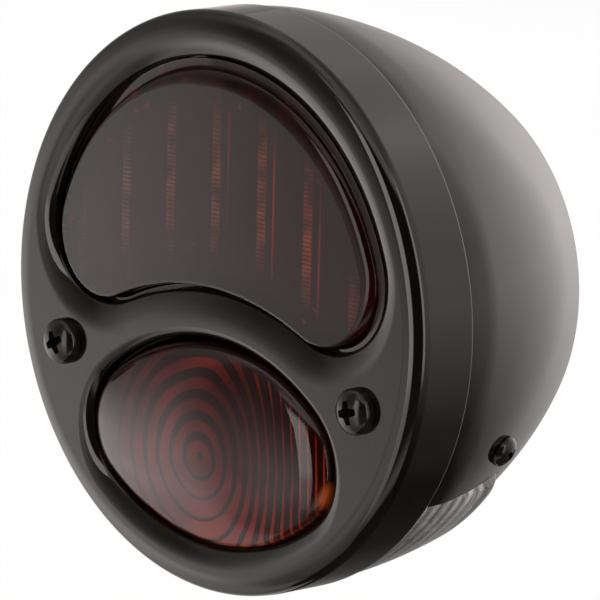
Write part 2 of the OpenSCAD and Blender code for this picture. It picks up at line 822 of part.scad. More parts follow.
module bulb_glass() {
    color("#eef2f2", 0.5) rotate_extrude($fn = fine) difference() {
        envelope_section(0);
        envelope_section(bulb_glass_t);
    }
}

module bulb_filament() {
    low = glass_z + bulb_glass_t;
    stem_top_r = filament_w / 2 - filament_wire / 4;
    color("silver") {
        translate([0, 0, low]) cylinder(r1 = stem_r, r2 = stem_top_r, h = stem_h, $fn = small);
        both_sides() peg([(filament_w - filament_wire) / 2, 0], filament_wire / 2, low + stem_h - filament_wire,
                         bulb_ball_z - low - stem_h + 1.5 * filament_wire);
        translate([0, 0, bulb_ball_z]) rotate([0, 90, 0])
            cylinder(r = filament_wire * 0.75, h = filament_w, center = true, $fn = small);
    }
}

// Half section of the door's cup, moved in from the outside
module door_section(inset) {
    flat = rim_r - door_corner_r;
    low = lamp_depth - door_corner_r;
    translate([0, seam_z]) square([rim_r - inset, low - seam_z]);
    translate([0, seam_z]) square([flat, door_depth - inset]);
    translate([flat, low]) circle(r = door_corner_r - inset, $fn = small);
}

// Section of the rolled lip: X outward from the opening's wall, Y forward from the face
module lip_section(let_in) {
    bend = [lip_r, -lip_r];
    difference() {
        union() {
            intersection() {
                translate(bend) circle(r = lip_r - let_in, $fn = small);
                translate([0, -lip_r]) square(lip_r);
            }
            translate([let_in, let_in - lip_r - lip_wall]) square([door_sheet - 2 * let_in, lip_wall - let_in]);
            translate([lip_r, 2 * lip_let - door_sheet]) square([door_sheet, door_sheet - 4 * lip_let]);
        }
        translate(bend) circle(r = lip_r - door_sheet + let_in, $fn = small);
    }
}

// Lip along the four arcs of an opening, the corners let into the long sides
module rolled_lip(arcs) {
    for (i = [0 : 3]) {
        arc = arcs[i];
        corner = i % 2 == 0;
        over = corner ? lip_overrun : 0;
        translate([arc[0][0], arc[0][1], lamp_depth])
            spin_part(min(arc[2], arc[3]) - over, max(arc[2], arc[3]) + over)
                translate([arc[1], 0]) mirror([arc[4] < 0 ? 1 : 0, 0]) lip_section(corner ? lip_let : 0);
    }
}

module door_shell() {
    color("#3c3c3c") {
        difference() {
            spin() difference() {
                door_section(0);
                door_section(door_sheet);
            }
            slab(seam_z, past) upper_outline(lip_r + door_sheet / 2);
            slab(seam_z, past) lower_outline(lip_r + door_sheet / 2);
            both_sides() peg(door_screw, door_screw_r + screw_clear, seam_z, past);
        }
        rolled_lip(upper_arcs);
        rolled_lip(lower_arcs);
    }
}

// Closed glass solid: rings of points from the middle of its back, round the flange, to the middle of its front
module lens_solid(arcs, back, front, centre) {
    rim = [
        [-lens_flange, flange_back],
        [-lens_flange, flange_front],
        [lens_gap, flange_front]
    ];
    core = [0.12, 0.6];
    last_back = back[0];
    last_front = front[len(front) - 1];
    back_core = [for (k = core) raised(shrunk(loop(arcs, last_back[0]), centre, k), last_back[1])];
    front_core = [
        for (i = [1, 0])
        raised(shrunk(loop(arcs, last_front[0]), centre, core[i]), last_front[1] + lens_swell * (1 - core[i]))
    ];
    middle = [for (s = concat(back, rim, front)) raised(loop(arcs, s[0]), s[1])];
    rings = concat(back_core, middle, front_core);
    n = len(rings[0]);
    points = [for (ring = rings) each ring];
    skin = [
        for (i = [0 : len(rings) - 2], k = [0 : n - 1], half = [0, 1])
        let (a = i * n + k, b = i * n + (k + 1) % n)
        half == 0 ? [a, a + n, b + n] : [a, b + n, b]
    ];
    first = [[for (k = [0 : n - 1]) k]];
    end = [[for (k = [n - 1 : -1 : 0]) (len(rings) - 1) * n + k]];
    polyhedron(points, concat(first, skin, end));
}
// Rise of a lens's middle over its last full ring
lens_swell = 0.3;

// Section of a lens's hollow back, from its ceiling to its mouth
function hollow(width, ceiling, reach) = [
    [reach, ceiling],
    [width + lens_wall / 2, ceiling],
    [width, ceiling - lens_wall / 4],
    [width, flange_back]
];

module upper_lens() {
    top = lamp_depth + upper_rise;
    edge = lens_gap + upper_bevel;
    reach = upper_corner_r - 0.6;
    front = concat(
        [[lens_gap, lamp_depth - upper_foot]],
        [for (t = [0 : 0.25 : 1]) [edge + t * (reach - edge), top + upper_crown * sin(90 * t)]]
    );
    back = hollow(edge, top - lens_wall + upper_crown / 2, reach);
    color("#7a1a14", 0.8) lens_solid(upper_arcs, back, front, [0, (upper_arch_top + upper_r) / 2]);
}

module lower_lens() {
    foot = lamp_depth - lower_foot;
    reach = lower_corner_r - 0.6;
    front = [
        for (t = [0, 0.04, 0.12, 0.25, 0.45, 0.7, 1])
        [lens_gap + t * (reach - lens_gap), foot + (lower_foot + lower_rise) * sqrt(1 - pow(1 - t, 2.2))]
    ];
    back = hollow(lens_gap + lens_wall, lamp_depth + lower_rise - lens_wall - lower_foot, reach);
    color("#a02a1c", 0.8) lens_solid(lower_arcs, back, front, [0, (lower_crest - lower_r) / 2]);
}

module upper_lens_gasket() {
    color("#1a1a1a") slab(flange_front, lens_gasket_t) difference() {
        upper_outline(lens_flange);
        upper_outline(0);
    }
}

module lower_lens_gasket() {
    color("#1a1a1a") slab(flange_front, lens_gasket_t) difference() {
        lower_outline(lens_flange);
        lower_outline(0);
    }
}

module lens_retainer() {
    color("silver") difference() {
        slab(retainer_back, retainer_t) difference() {
            circle(r = retainer_r, $fn = fine);
            upper_outline(lens_flange - retainer_cover - lens_wall);
            lower_outline(lens_flange - retainer_cover - lens_wall);
        }
        for (p = retainer_stud_at) peg(p, retainer_stud_r + screw_clear, 0, past * 2);
        both_sides() peg(door_screw, door_screw_r + screw_clear * 2, 0, past * 2);
    }
}

module retainer_studs() {
    color("silver") for (p = retainer_stud_at)
        peg(p, retainer_stud_r, stud_tail, lamp_depth - door_sheet - stud_tail);
}

module retainer_nuts() {
    color("silver") for (p = retainer_stud_at) difference() {
        translate([p[0], p[1], retainer_back - nut_h]) cylinder(r = nut_r, h = nut_h, $fn = 6);
        peg(p, retainer_stud_r, 0, past * 2);
    }
}

module at_upper() {
    facing_front() translate([0, upper_bulb_y, 0]) children();
}

module at_lower() {
    facing_front() translate([0, lower_bulb_y, 0]) children();
}

facing_front() housing_bowl();
facing_front() door_screw_tabs();
facing_front() door_seal();
facing_front() window_lens();
facing_front() window_gasket();
facing_front() window_strap();
facing_front() window_screws();
facing_front() mounting_studs();
facing_front() wire_grommet();
facing_front() socket_plate();
facing_front() socket_rivets();
facing_front() light_divider();
facing_front() divider_rivets();
at_upper() socket();  // upper_socket
at_lower() socket();  // lower_socket
at_upper() insulator();  // upper_insulator
at_lower() insulator();  // lower_insulator
at_upper() contact_spring();  // upper_contact_spring
at_lower() contact_spring();  // lower_contact_spring
at_upper() contact_disc();  // upper_contact_disc
at_lower() contact_disc();  // lower_contact_disc
at_upper() contact_tip();  // upper_contact_tip
at_lower() contact_tip();  // lower_contact_tip
at_upper() bulb_cap();  // upper_bulb_cap
at_lower() bulb_cap();  // lower_bulb_cap
at_upper() bulb_contact();  // upper_bulb_contact
at_lower() bulb_contact();  // lower_bulb_contact
at_upper() bulb_glass();  // upper_bulb_glass
at_lower() bulb_glass();  // lower_bulb_glass
at_upper() bulb_filament();  // upper_bulb_filament
at_lower() bulb_filament();  // lower_bulb_filament
facing_front() door_shell();
facing_front() upper_lens();
facing_front() lower_lens();
facing_front() upper_lens_gasket();
facing_front() lower_lens_gasket();
facing_front() lens_retainer();
facing_front() retainer_studs();
facing_front() retainer_nuts();
facing_front() door_screws();
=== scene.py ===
"""Looks of the round two-lens tail light: smooth pieces over the CAD frame, materials, studio and camera.

Pieces are built in the lamp's own axes, in millimetres: x right, y up, z forward from the back face.
"""

import math

import bmesh
import bpy
import numpy as np
from mathutils import Matrix, Vector
from mathutils.geometry import tessellate_polygon


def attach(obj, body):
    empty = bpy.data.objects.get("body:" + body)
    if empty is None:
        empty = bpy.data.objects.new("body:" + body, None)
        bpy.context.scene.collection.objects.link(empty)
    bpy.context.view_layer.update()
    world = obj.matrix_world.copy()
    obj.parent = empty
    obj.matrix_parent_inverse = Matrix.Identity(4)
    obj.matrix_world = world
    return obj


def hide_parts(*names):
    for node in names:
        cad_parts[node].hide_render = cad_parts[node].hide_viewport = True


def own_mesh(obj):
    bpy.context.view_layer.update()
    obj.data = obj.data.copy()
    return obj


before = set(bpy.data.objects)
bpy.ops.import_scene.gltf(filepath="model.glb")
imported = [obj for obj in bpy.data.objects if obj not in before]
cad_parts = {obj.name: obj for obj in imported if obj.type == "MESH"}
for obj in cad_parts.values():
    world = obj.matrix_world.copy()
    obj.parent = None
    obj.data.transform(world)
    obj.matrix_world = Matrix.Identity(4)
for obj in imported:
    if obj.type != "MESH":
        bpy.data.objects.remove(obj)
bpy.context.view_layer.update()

MM = 0.001

# Sizes of the lamp, in millimetres and degrees
RIM_R = 54.0
DEPTH = 61.0
SHEET = 1.0
SEAM_Z = 47.0
BOWL_TOP = 46.7
BACK_FLAT_R = 32.2
BACK_CORNER_R = 6.0
BOWL_SIDE_R = 95.0
NECK_R = 52.7
NECK_TOP = 57.2
NECK_RIM_R = 49.5
DOOR_BEND_R = 6.5
DOOR_CORNER_R = 2.8
DOOR_BEND_ANGLE = 23.0
LIP_BEND_R = 6.2
LIP_BEND_ANGLE = 33.0
LIP_EDGE_R = 0.8
LIP_END = 57.0
FLANGE_FRONT = 56.0
FLANGE_BACK = 54.0
LENS_FLANGE = 2.5
LENS_GAP = 0.4
GROOVE_Z = 57.6
DOOR_SCREW = (39.12, -12.94)
STUD = (19.05, 0.0)
STUD_HOLE_R = 3.725
INLET = (20.0, -13.5)
INLET_R = 4.5
ARCH_C = (0.0, -54.8)
CREST_R = 44.0
CREST_C = (0.0, -6.3 - CREST_R)
RING_CENTRE = (0.0, -27.8)
WINDOW_HALF_ANGLE = 53.4
WINDOW_Z = 24.7
GLASS_IN = 3.3
GLASS_ARC_R = 110.0
FLUTE_PITCH = 3.4
SIDE_SCREW_Z = 29.5
SOCKET_Y = {"upper": 18.0, "lower": -20.0}
SPRING_Z = 3.7
SPRING_LEN = 6.0
SPRING_R = 4.2
SPRING_WIRE_R = 0.3
SPRING_TURNS = 4

# Roll of the door's rear edge at the seam
DOOR_ROLL_R = 0.7

# Softening of sheet edges and width of the flat margin kept beside each rounding
EDGE_R = 0.3
MARGIN = 0.2

# Parts that the window's arc and the rest of the bowl's round are divided into
WINDOW_STEPS = 140
ROUND_STEPS = 260


def polar(centre, radius, degrees):
    a = math.radians(degrees)
    return (centre[0] + radius * math.cos(a), centre[1] + radius * math.sin(a))


def heading(v):
    return math.degrees(math.atan2(v[1], v[0]))


def ring_centre(a, ra, b, rb):
    """Point at distance ra from a and rb from b, on the lamp axis's side of both."""
    a, b = np.array(a), np.array(b)
    d = np.linalg.norm(a - b)
    u = (a - b) / d
    t = (rb * rb - ra * ra + d * d) / (2 * d)
    return tuple(b + t * u + math.sqrt(rb * rb - t * t) * np.array([-u[1], u[0]]))


def corner_centre(ra, y, rb):
    """Right-hand point at distance ra from the origin and rb from (0, y)."""
    cy = (ra * ra + y * y - rb * rb) / (2 * y)
    return (math.sqrt(ra * ra - cy * cy), cy)


SIDE_C = ring_centre(
    (RIM_R, BOWL_TOP), BOWL_SIDE_R, (BACK_FLAT_R, BACK_CORNER_R), BOWL_SIDE_R - BACK_CORNER_R
)


def bowl_r(z, inset=0.0):
    return SIDE_C[0] + math.sqrt((BOWL_SIDE_R - inset) ** 2 - (z - SIDE_C[1]) ** 2)


def bowl_lean(z):
    return math.asin((z - SIDE_C[1]) / BOWL_SIDE_R)


GLASS_FRONT = (RIM_R - 0.55, BOWL_TOP)
GLASS_BY_SCREW = (bowl_r(SIDE_SCREW_Z) + 1.1, SIDE_SCREW_Z)
GLASS_C = ring_centre(GLASS_FRONT, GLASS_ARC_R, GLASS_BY_SCREW, GLASS_ARC_R)


def glass_r(z):
    return GLASS_C[0] + math.sqrt(GLASS_ARC_R**2 - (z - GLASS_C[1]) ** 2)


class Opening:
    """Outline of a lens opening, made of four tangent arcs.

    Each arc is (centre, radius, first angle, last angle, side). The side is 1 for an arc that bulges out and
    -1 for one that bulges in.
    """

    def __init__(self, arcs):
        self.arcs = arcs

    def counts(self, step, reach):
        """Number of points on each arc, at most step degrees and reach millimetres apart."""
        made = []
        for _, radius, a, b, _ in self.arcs:
            sweep = abs(b - a)
            made.append(math.ceil(max(sweep / step, math.radians(sweep) * radius / reach)))
        return made

    def loop(self, inset, step=2.5, reach=0.9):
        """Points round the outline moved in by inset. Every inset gives the same number of points."""
        points = []
        for (centre, radius, a, b, side), n in zip(self.arcs, self.counts(step, reach)):
            points += [polar(centre, radius - side * inset, a + (b - a) * i / n) for i in range(n)]
        return points

    def spread(self, insets, **detail):
        """Points round the outline, each moved in by its own inset."""
        base, unit = np.array(self.loop(0, **detail)), np.array(self.loop(1, **detail))
        return (base + (unit - base) * insets[:, None]).tolist()

    def along_last(self, step=2.5, reach=0.9):
        """Weight of each point: 1 on the last arc, 0 on the second, and eased along the two corners."""
        first, second, third, last = self.counts(step, reach)
        ease = [0.5 + 0.5 * math.cos(math.pi * i / first) for i in range(first)]
        back = [0.5 - 0.5 * math.cos(math.pi * i / third) for i in range(third)]
        return np.array(ease + [0.0] * second + back + [1.0] * last)


def upper_opening():
    outer_r, arch_r, corner_r = 45.6, 57.0, 14.2
    arch = ARCH_C
    corner = corner_centre(outer_r - corner_r, arch[1], arch_r + corner_r)
    a = heading(corner)
    b = heading((arch[0] - corner[0], arch[1] - corner[1]))
    c = heading((corner[0] - arch[0], corner[1] - arch[1]))
    return Opening(
        [
            (corner, corner_r, b, a, 1),
            ((0, 0), outer_r, a, 180 - a, 1),
            ((-corner[0], corner[1]), corner_r, 180 - a, 180 - b, 1),
            (arch, arch_r, 180 - c, c, -1),
        ]
    )


def lower_opening():
    outer_r, corner_r = 45.35, 13.1
    crest = CREST_C
    corner = corner_centre(outer_r - corner_r, crest[1], CREST_R - corner_r)
    a = heading(corner)
    b = heading((corner[0] - crest[0], corner[1] - crest[1]))
    return Opening(
        [
            (corner, corner_r, a, b, 1),
            (crest, CREST_R, b, 180 - b, 1),
            ((-corner[0], corner[1]), corner_r, 180 - b, 180 - a, 1),
            ((0, 0), outer_r, 180 - a, 360 + a, 1),
        ]
    )


UPPER = upper_opening()
LOWER = lower_opening()
LOWER_CORNER_C = LOWER.arcs[0][0]


class Surface:
    """Points and faces of one piece, with a material number for each face."""

    def __init__(self):
        self.points = []
        self.faces = []
        self.slots = []

    def add(self, points):
        first = len(self.points)
        self.points += points
        return list(range(first, len(self.points)))

    def face(self, indices, slot=0):
        self.faces.append(tuple(indices))
        self.slots.append(slot)

    def skin(self, rings, closed=True, slot=0, keep=None):
        """Quads between neighbouring rows of point numbers. keep(i, k) says which quads are made."""
        for i in range(len(rings) - 1):
            a, b = rings[i], rings[i + 1]
            n = len(a)
            for k in range(n if closed else n - 1):
                if keep is None or keep(i, k):
                    self.face((a[k], a[(k + 1) % n], b[(k + 1) % n], b[k]), slot)

    def capped(self, rings):
        """Closed skin over rows of point numbers, with a face on each end."""
        self.skin(rings)
        self.face(rings[0])
        self.face(rings[-1])

    def plane(self, outline, holes=(), slot=0):
        """Flat face inside an outline and round holes, all given as rows of point numbers."""
        rows = [outline, *holes]
        flat = [i for row in rows for i in row]
        for tri in tessellate_polygon([[Vector(self.points[i]) for i in row] for row in rows]):
            self.face([flat[i] for i in tri], slot)

    def piece(self, name, materials, sharp=35.0):
        """Blender object of the surface, smooth but for edges sharper than an angle."""
        mesh = bpy.data.meshes.new(name)
        mesh.from_pydata([(x * MM, -z * MM, y * MM) for x, y, z in self.points], [], self.faces)
        for material in materials:
            mesh.materials.append(material)
        mesh.polygons.foreach_set("material_index", self.slots)
        return finished(name, mesh, sharp)


def finished(name, mesh, sharp):
    """Object of a mesh with its normals outward, smooth but for edges sharper than an angle."""
    bm = bmesh.new()
    bm.from_mesh(mesh)
    bmesh.ops.remove_doubles(bm, verts=bm.verts, dist=1e-7)
    bmesh.ops.recalc_face_normals(bm, faces=bm.faces)
    bm.to_mesh(mesh)
    bm.free()
    mesh.polygons.foreach_set("use_smooth", [True] * len(mesh.polygons))
    mesh.set_sharp_from_angle(angle=math.radians(sharp))
    obj = bpy.data.objects.new(name, mesh)
    bpy.context.scene.collection.objects.link(obj)
    return obj


def arc(centre, radius, a, b, n):
    """Points along an arc, both ends included."""
    return [polar(centre, radius, a + (b - a) * i / n) for i in range(n + 1)]


def turned(surface, profile, angles):
    """Rows of points of a profile (radius, level) turned about the lamp's axis."""
    return [surface.add([(*polar((0, 0), r, a), z) for a in angles]) for r, z in profile]


def full_turn(n=360):
    return [i * 360 / n for i in range(n)]


# Materials


class Nodes:
    """Small helper round one material's node tree."""

    def __init__(self, name):
        self.material = bpy.data.materials.new(name)
        self.material.use_nodes = True
        self.tree = self.material.node_tree
        self.shader = self.tree.nodes["Principled BSDF"]
        self.coords = self.tree.nodes.new("ShaderNodeTexCoord").outputs["Object"]

    def set(self, **values):
        for key, value in values.items():
            self.shader.inputs[key.replace("_", " ")].default_value = value
        return self

    def node(self, kind, **settings):
        made = self.tree.nodes.new("ShaderNode" + kind)
        for key, value in settings.items():
            setattr(made, key, value)
        return made

    def link(self, source, target):
        self.tree.links.new(source, target)

    def noise(self, scale, detail=3.0, rough=0.5):
        made = self.node("TexNoise")
        made.inputs["Scale"].default_value = scale
        made.inputs["Detail"].default_value = detail
        made.inputs["Roughness"].default_value = rough
        self.link(self.coords, made.inputs["Vector"])
        return made.outputs["Fac"]

    def ramp(self, source, *stops):
        """Colour ramp over (position, colour) stops; a number stands for a grey."""
        made = self.node("ValToRGB")
        band = made.color_ramp
        while len(band.elements) < len(stops):
            band.elements.new(0.5)
        for element, (position, colour) in zip(band.elements, stops):
            element.position = position
            element.color = (*colour, 1) if isinstance(colour, tuple) else (colour, colour, colour, 1)
        self.link(source, made.inputs["Fac"])
        return made.outputs["Color"]

    def math(self, operation, a, b=None, c=None):
        made = self.node("Math", operation=operation)
        for socket, value in zip(made.inputs, (a, b, c)):
            if isinstance(value, (int, float)):
                socket.default_value = value
            elif value is not None:
                self.link(value, socket)
        return made.outputs["Value"]

    def length(self, a, b):
        """Distance given by two parts at right angles."""
        return self.math("SQRT", self.math("ADD", self.math("MULTIPLY", a, a), self.math("MULTIPLY", b, b)))

    def mix(self, factor, a, b):
        """Mix of two colours, each a socket or an RGB tuple."""
        made = self.node("Mix", data_type="RGBA")
        self.link(factor, made.inputs["Factor"])
        for socket, value in ((made.inputs["A"], a), (made.inputs["B"], b)):
            if isinstance(value, tuple):
                socket.default_value = (*value, 1)
            else:
                self.link(value, socket)
        return made.outputs["Result"]

    def axes(self):
        made = self.node("SeparateXYZ")
        self.link(self.coords, made.inputs["Vector"])
        return made.outputs["X"], made.outputs["Y"], made.outputs["Z"]

    def colour(self, source):
        self.link(source, self.shader.inputs["Base Color"])

    def rough(self, source):
        self.link(source, self.shader.inputs["Roughness"])

    def bump(self, source, strength, distance):
        made = self.node("Bump")
        made.inputs["Strength"].default_value = strength
        made.inputs["Distance"].default_value = distance
        self.link(source, made.inputs["Height"])
        self.link(made.outputs["Normal"], self.shader.inputs["Normal"])


def paint():
    n = Nodes("gloss_black_paint").set(IOR=1.6)
    n.colour(n.ramp(n.noise(60, 4), (0.3, (0.0028, 0.0018, 0.001)), (0.7, (0.005, 0.0034, 0.0022))))
    n.rough(n.ramp(n.noise(140, 5, 0.6), (0.3, 0.04), (0.75, 0.085)))
    n.bump(n.noise(420, 2), 0.012, 0.0004)
    return n.material


def screw_black():
    n = Nodes("black_screw_finish").set(IOR=1.5)
    n.colour(n.ramp(n.noise(500, 4), (0.3, (0.004, 0.003, 0.002)), (0.75, (0.011, 0.009, 0.008))))
    n.rough(n.ramp(n.noise(900, 4, 0.6), (0.3, 0.09), (0.7, 0.2)))
    n.bump(n.noise(1100, 3), 0.03, 0.0002)
    return n.material


def metal(name, low, high, rough, grain):
    n = Nodes(name).set(Metallic=1.0)
    n.colour(n.ramp(n.noise(grain, 4), (0.3, low), (0.7, high)))
    n.rough(n.ramp(n.noise(grain * 2, 5, 0.6), (0.3, rough - 0.08), (0.7, rough + 0.1)))
    n.bump(n.noise(grain * 4, 3), 0.06, 0.0003)
    return n.material


def matte(name, low, high, rough, grain, bump):
    n = Nodes(name).set(IOR=1.5)
    n.colour(n.ramp(n.noise(grain, 5), (0.3, low), (0.7, high)))
    n.rough(n.ramp(n.noise(grain * 2, 4), (0.3, rough - 0.08), (0.7, rough + 0.08)))
    n.bump(n.noise(grain * 3, 4), bump, 0.0004)
    return n.material


def glass(name, colour, rough):
    n = Nodes(name).set(IOR=1.5)
    n.shader.inputs["Transmission Weight"].default_value = 1.0
    n.shader.inputs["Base Color"].default_value = (*colour, 1)
    n.rough(n.ramp(n.noise(160, 4), (0.35, rough * 0.5), (0.7, rough * 1.5)))
    n.bump(n.noise(45, 1), 0.01, 0.0004)
    return n.material


def ruby_border():
    """Dark red glass of the upper lens outside its plateau, with bright red glints painted into it in
    patches.
    """
    n = Nodes("ruby_border_glass").set(IOR=1.4)
    n.shader.inputs["Transmission Weight"].default_value = 0.8
    dark, middle, bright = (0.02, 0.002, 0.0015), (0.07, 0.005, 0.0035), (0.3, 0.012, 0.008)
    # The brightest stop paints red glints in patches: painted highlights, not the glass's own colour.
    n.colour(n.ramp(n.noise(180, 4), (0.4, dark), (0.64, middle), (0.76, bright)))
    n.rough(n.ramp(n.noise(160, 4), (0.35, 0.02), (0.7, 0.06)))
    n.bump(n.noise(45, 1), 0.01, 0.0004)
    return n.material


def ringed_back():
    """Moulded rings on the back of the lower lens.

    Their light and shade are painted: lit red bands between dark rings of painted shade, the shaded share
    growing towards the top.
    The red bands thin out to painted highlight lines on the right. The rim has painted amber glints, the lit
    bands turn a painted lighter pink towards the bottom, and the right-hand tip has a painted orange glow.
    """
    n = Nodes("red_ringed_back").set(IOR=1.2)
    x, _, z = n.axes()
    pitch = 0.0037
    glow_x, glow_z = 0.0325, -0.0315
    dz = n.math("SUBTRACT", z, RING_CENTRE[1] * MM)
    radius = n.length(x, dz)
    right = n.math("MAXIMUM", x, 0.0)
    crowded = n.math("MULTIPLY_ADD", n.math("MULTIPLY", right, right), 22.0, radius)
    wavy = n.math("MULTIPLY_ADD", n.noise(120, 3), 0.0014, crowded)
    phase = n.math("FRACT", n.math("MULTIPLY_ADD", wavy, 1 / pitch, 0.6))
    # Painted light and shade of the ring facets: each ring is lit over a share of its pitch and shaded over
    # the rest. The lit share narrows towards the top and, towards the right, thins to painted highlight
    # lines.
    rising = n.math("DIVIDE", dz, n.math("ADD", radius, 0.001))
    across = n.math("MULTIPLY_ADD", x, 16.0, 0.4)
    thin = n.ramp(across, (0.46, 0.0), (0.7, 1.0))
    width = n.math("MULTIPLY_ADD", rising, -0.18, n.math("MULTIPLY_ADD", thin, -0.44, 0.66))
    painted_lit_rings = n.ramp(n.math("MULTIPLY_ADD", n.math("SUBTRACT", width, phase), 7.0, 0.5), (0.0, 0.0), (1.0, 1.0))
    crest_r = n.length(x, n.math("SUBTRACT", z, CREST_C[1] * MM))
    under_crest = n.math("MULTIPLY_ADD", crest_r, 1 / MM, 3.5 - CREST_R)
    off_left = n.ramp(across, (0.02, 0.0), (0.16, 1.0))
    seen = n.math("MULTIPLY", off_left, n.ramp(under_crest, (0.1, 1.0), (0.9, 0.0)))
    uneven = n.ramp(n.noise(75, 2), (0.36, 0.25), (0.58, 1.0))
    band = n.math("MULTIPLY", n.math("MULTIPLY", painted_lit_rings, seen), uneven)
    # Colour of the lit bands, brighter orange-red on the right: painted highlights on the ring edges there.
    tone = n.ramp(across, (0.55, (0.19, 0.017, 0.011)), (0.78, (0.4, 0.04, 0.01)))
    # Towards the bottom the lit bands turn a lighter pink: painted light.
    low = n.ramp(n.math("MULTIPLY_ADD", z, -60.0, -2.0), (0.2, 0.0), (0.6, 1.0))
    # Between the lit bands the rings take a dark colour, the painted shade of their facets.
    rings = n.mix(band, (0.016, 0.005, 0.004), n.mix(low, tone, (0.38, 0.07, 0.045)))
    # Amber band along the rim, broken into patches and fading out on the right: painted glints.
    rim = n.ramp(n.math("MULTIPLY_ADD", n.length(x, z), 1 / MM, -43.0), (0.1, 0.0), (0.5, 1.0))
    mottle = n.ramp(n.noise(350, 3), (0.4, 0.05), (0.62, 1.0))
    patchy = n.math("MULTIPLY", mottle, n.ramp(across, (0.55, 1.0), (0.7, 0.15)))
    # Orange spot at the right-hand tip: a painted glow of light.
    corner_x = n.math("SUBTRACT", x, LOWER_CORNER_C[0] * MM)
    corner = n.length(corner_x, n.math("SUBTRACT", z, LOWER_CORNER_C[1] * MM))
    spot = n.length(n.math("SUBTRACT", x, glow_x), n.math("SUBTRACT", z, glow_z))
    tip = n.ramp(n.math("MULTIPLY_ADD", corner, 1 / MM, -9.6), (0.2, 0.0), (0.9, 1.0))
    orange = n.math("MULTIPLY", tip, n.ramp(n.math("MULTIPLY", spot, 200.0), (0.55, 1.0), (0.9, 0.0)))
    amber = n.mix(n.math("MULTIPLY", rim, patchy), rings, (0.5, 0.2, 0.02))
    n.colour(n.mix(orange, amber, (0.6, 0.19, 0.04)))
    n.rough(n.ramp(n.noise(300, 3), (0.3, 0.28), (0.7, 0.42)))
    n.bump(band, 0.25, 0.0005)
    return n.material


def fluted_back():
    """Ribbed upright bars on the back of the upper lens, inside a dark border.

    They go from olive on the left to orange on the right, a painted light that falls on them from the right,
    with fine red lines beside them on the right. The border has red glints painted in.
    """
    n = Nodes("ruby_fluted_back").set(IOR=1.2)
    x, _, z = n.axes()
    pitch = 0.012
    rib_pitch = 0.0008
    shifted = n.math("ADD", x, pitch / 2)
    place_in = n.math("SUBTRACT", n.math("FRACT", n.math("DIVIDE", shifted, pitch)), 0.5)
    bar = n.ramp(n.math("ABSOLUTE", place_in), (0.08, 1.0), (0.11, 0.0))
    line = n.ramp(n.math("ABSOLUTE", n.math("SUBTRACT", place_in, 0.26)), (0.014, 1.0), (0.026, 0.0))
    in_rib = n.math("FRACT", n.math("DIVIDE", z, rib_pitch))
    ribs = n.ramp(in_rib, (0.0, 0.2), (0.35, 1.0), (0.8, 1.0), (1.0, 0.2))
    broken = n.ramp(n.noise(260, 4), (0.35, 0.15), (0.68, 1.0))
    out_r = n.length(x, z)
    arch_r = n.length(x, n.math("SUBTRACT", z, ARCH_C[1] * MM))
    off_rim = n.ramp(out_r, (0.0345, 1.0), (0.036, 0.0))
    inside = n.math("MULTIPLY", off_rim, n.ramp(arch_r, (0.0655, 0.0), (0.067, 1.0)))
    side = n.math("MULTIPLY_ADD", x, 14.0, 0.5)
    # Bars go from olive on the left to orange on the right: painted light, as if it falls on them from the
    # right.
    olive, brown, amber = (0.19, 0.135, 0.06), (0.28, 0.115, 0.05), (0.55, 0.15, 0.04)
    tone = n.ramp(side, (0.1, olive), (0.5, brown), (0.9, amber))
    fine = n.ramp(side, (0.45, (0.02, 0.004, 0.004)), (0.6, (0.4, 0.022, 0.018)))
    bars = n.math("MULTIPLY", n.math("MULTIPLY", n.math("MULTIPLY", bar, ribs), broken), inside)
    patchy = n.ramp(n.noise(90, 2), (0.35, 0.1), (0.6, 1.0))
    lines = n.math("MULTIPLY", n.math("MULTIPLY", line, inside), patchy)
    glints = n.ramp(n.noise(420, 3), (0.67, (0.012, 0.002, 0.002)), (0.77, (0.32, 0.01, 0.008)))
    ground = n.mix(inside, glints, (0.02, 0.006, 0.004))
    n.colour(n.mix(lines, n.mix(bars, ground, tone), fine))
    n.rough(n.ramp(n.noise(300, 3), (0.3, 0.32), (0.7, 0.48)))
    n.bump(bars, 0.3, 0.0005)
    return n.material


def window_flutes():
    """Inner face of the window glass: flutes with painted light, their crests bright near both ends, and
    dull below.
    """
    n = Nodes("painted_light_window_flutes").set(IOR=1.45)
    n.shader.inputs["Transmission Weight"].default_value = 0.5
    _, y, z = n.axes()
    place_in = n.math("FRACT", n.math("DIVIDE", n.math("SUBTRACT", WINDOW_Z * MM, y), FLUTE_PITCH * MM))
    crest = n.ramp(n.math("ABSOLUTE", n.math("SUBTRACT", place_in, 0.5)), (0.12, 1.0), (0.27, 0.0))
    high = n.ramp(n.math("MULTIPLY_ADD", z, 100.0, 4.1), (0.2, 0.0), (0.75, 1.0))
    mottle = n.ramp(n.noise(260, 3), (0.35, 0.45), (0.6, 1.0))
    # Painted light: flute crests near both ends of the window are painted bright, broken up by a mottle.
    painted_lit_crests = n.math("MULTIPLY", n.math("MULTIPLY", crest, high), mottle)
    dull = n.ramp(n.noise(90, 3), (0.3, (0.1, 0.08, 0.08)), (0.7, (0.17, 0.14, 0.14)))
    n.colour(n.mix(painted_lit_crests, dull, (0.93, 0.93, 0.89)))
    n.rough(n.ramp(n.noise(200, 3), (0.3, 0.2), (0.7, 0.4)))
    n.bump(n.noise(600, 3), 0.08, 0.0003)
    return n.material


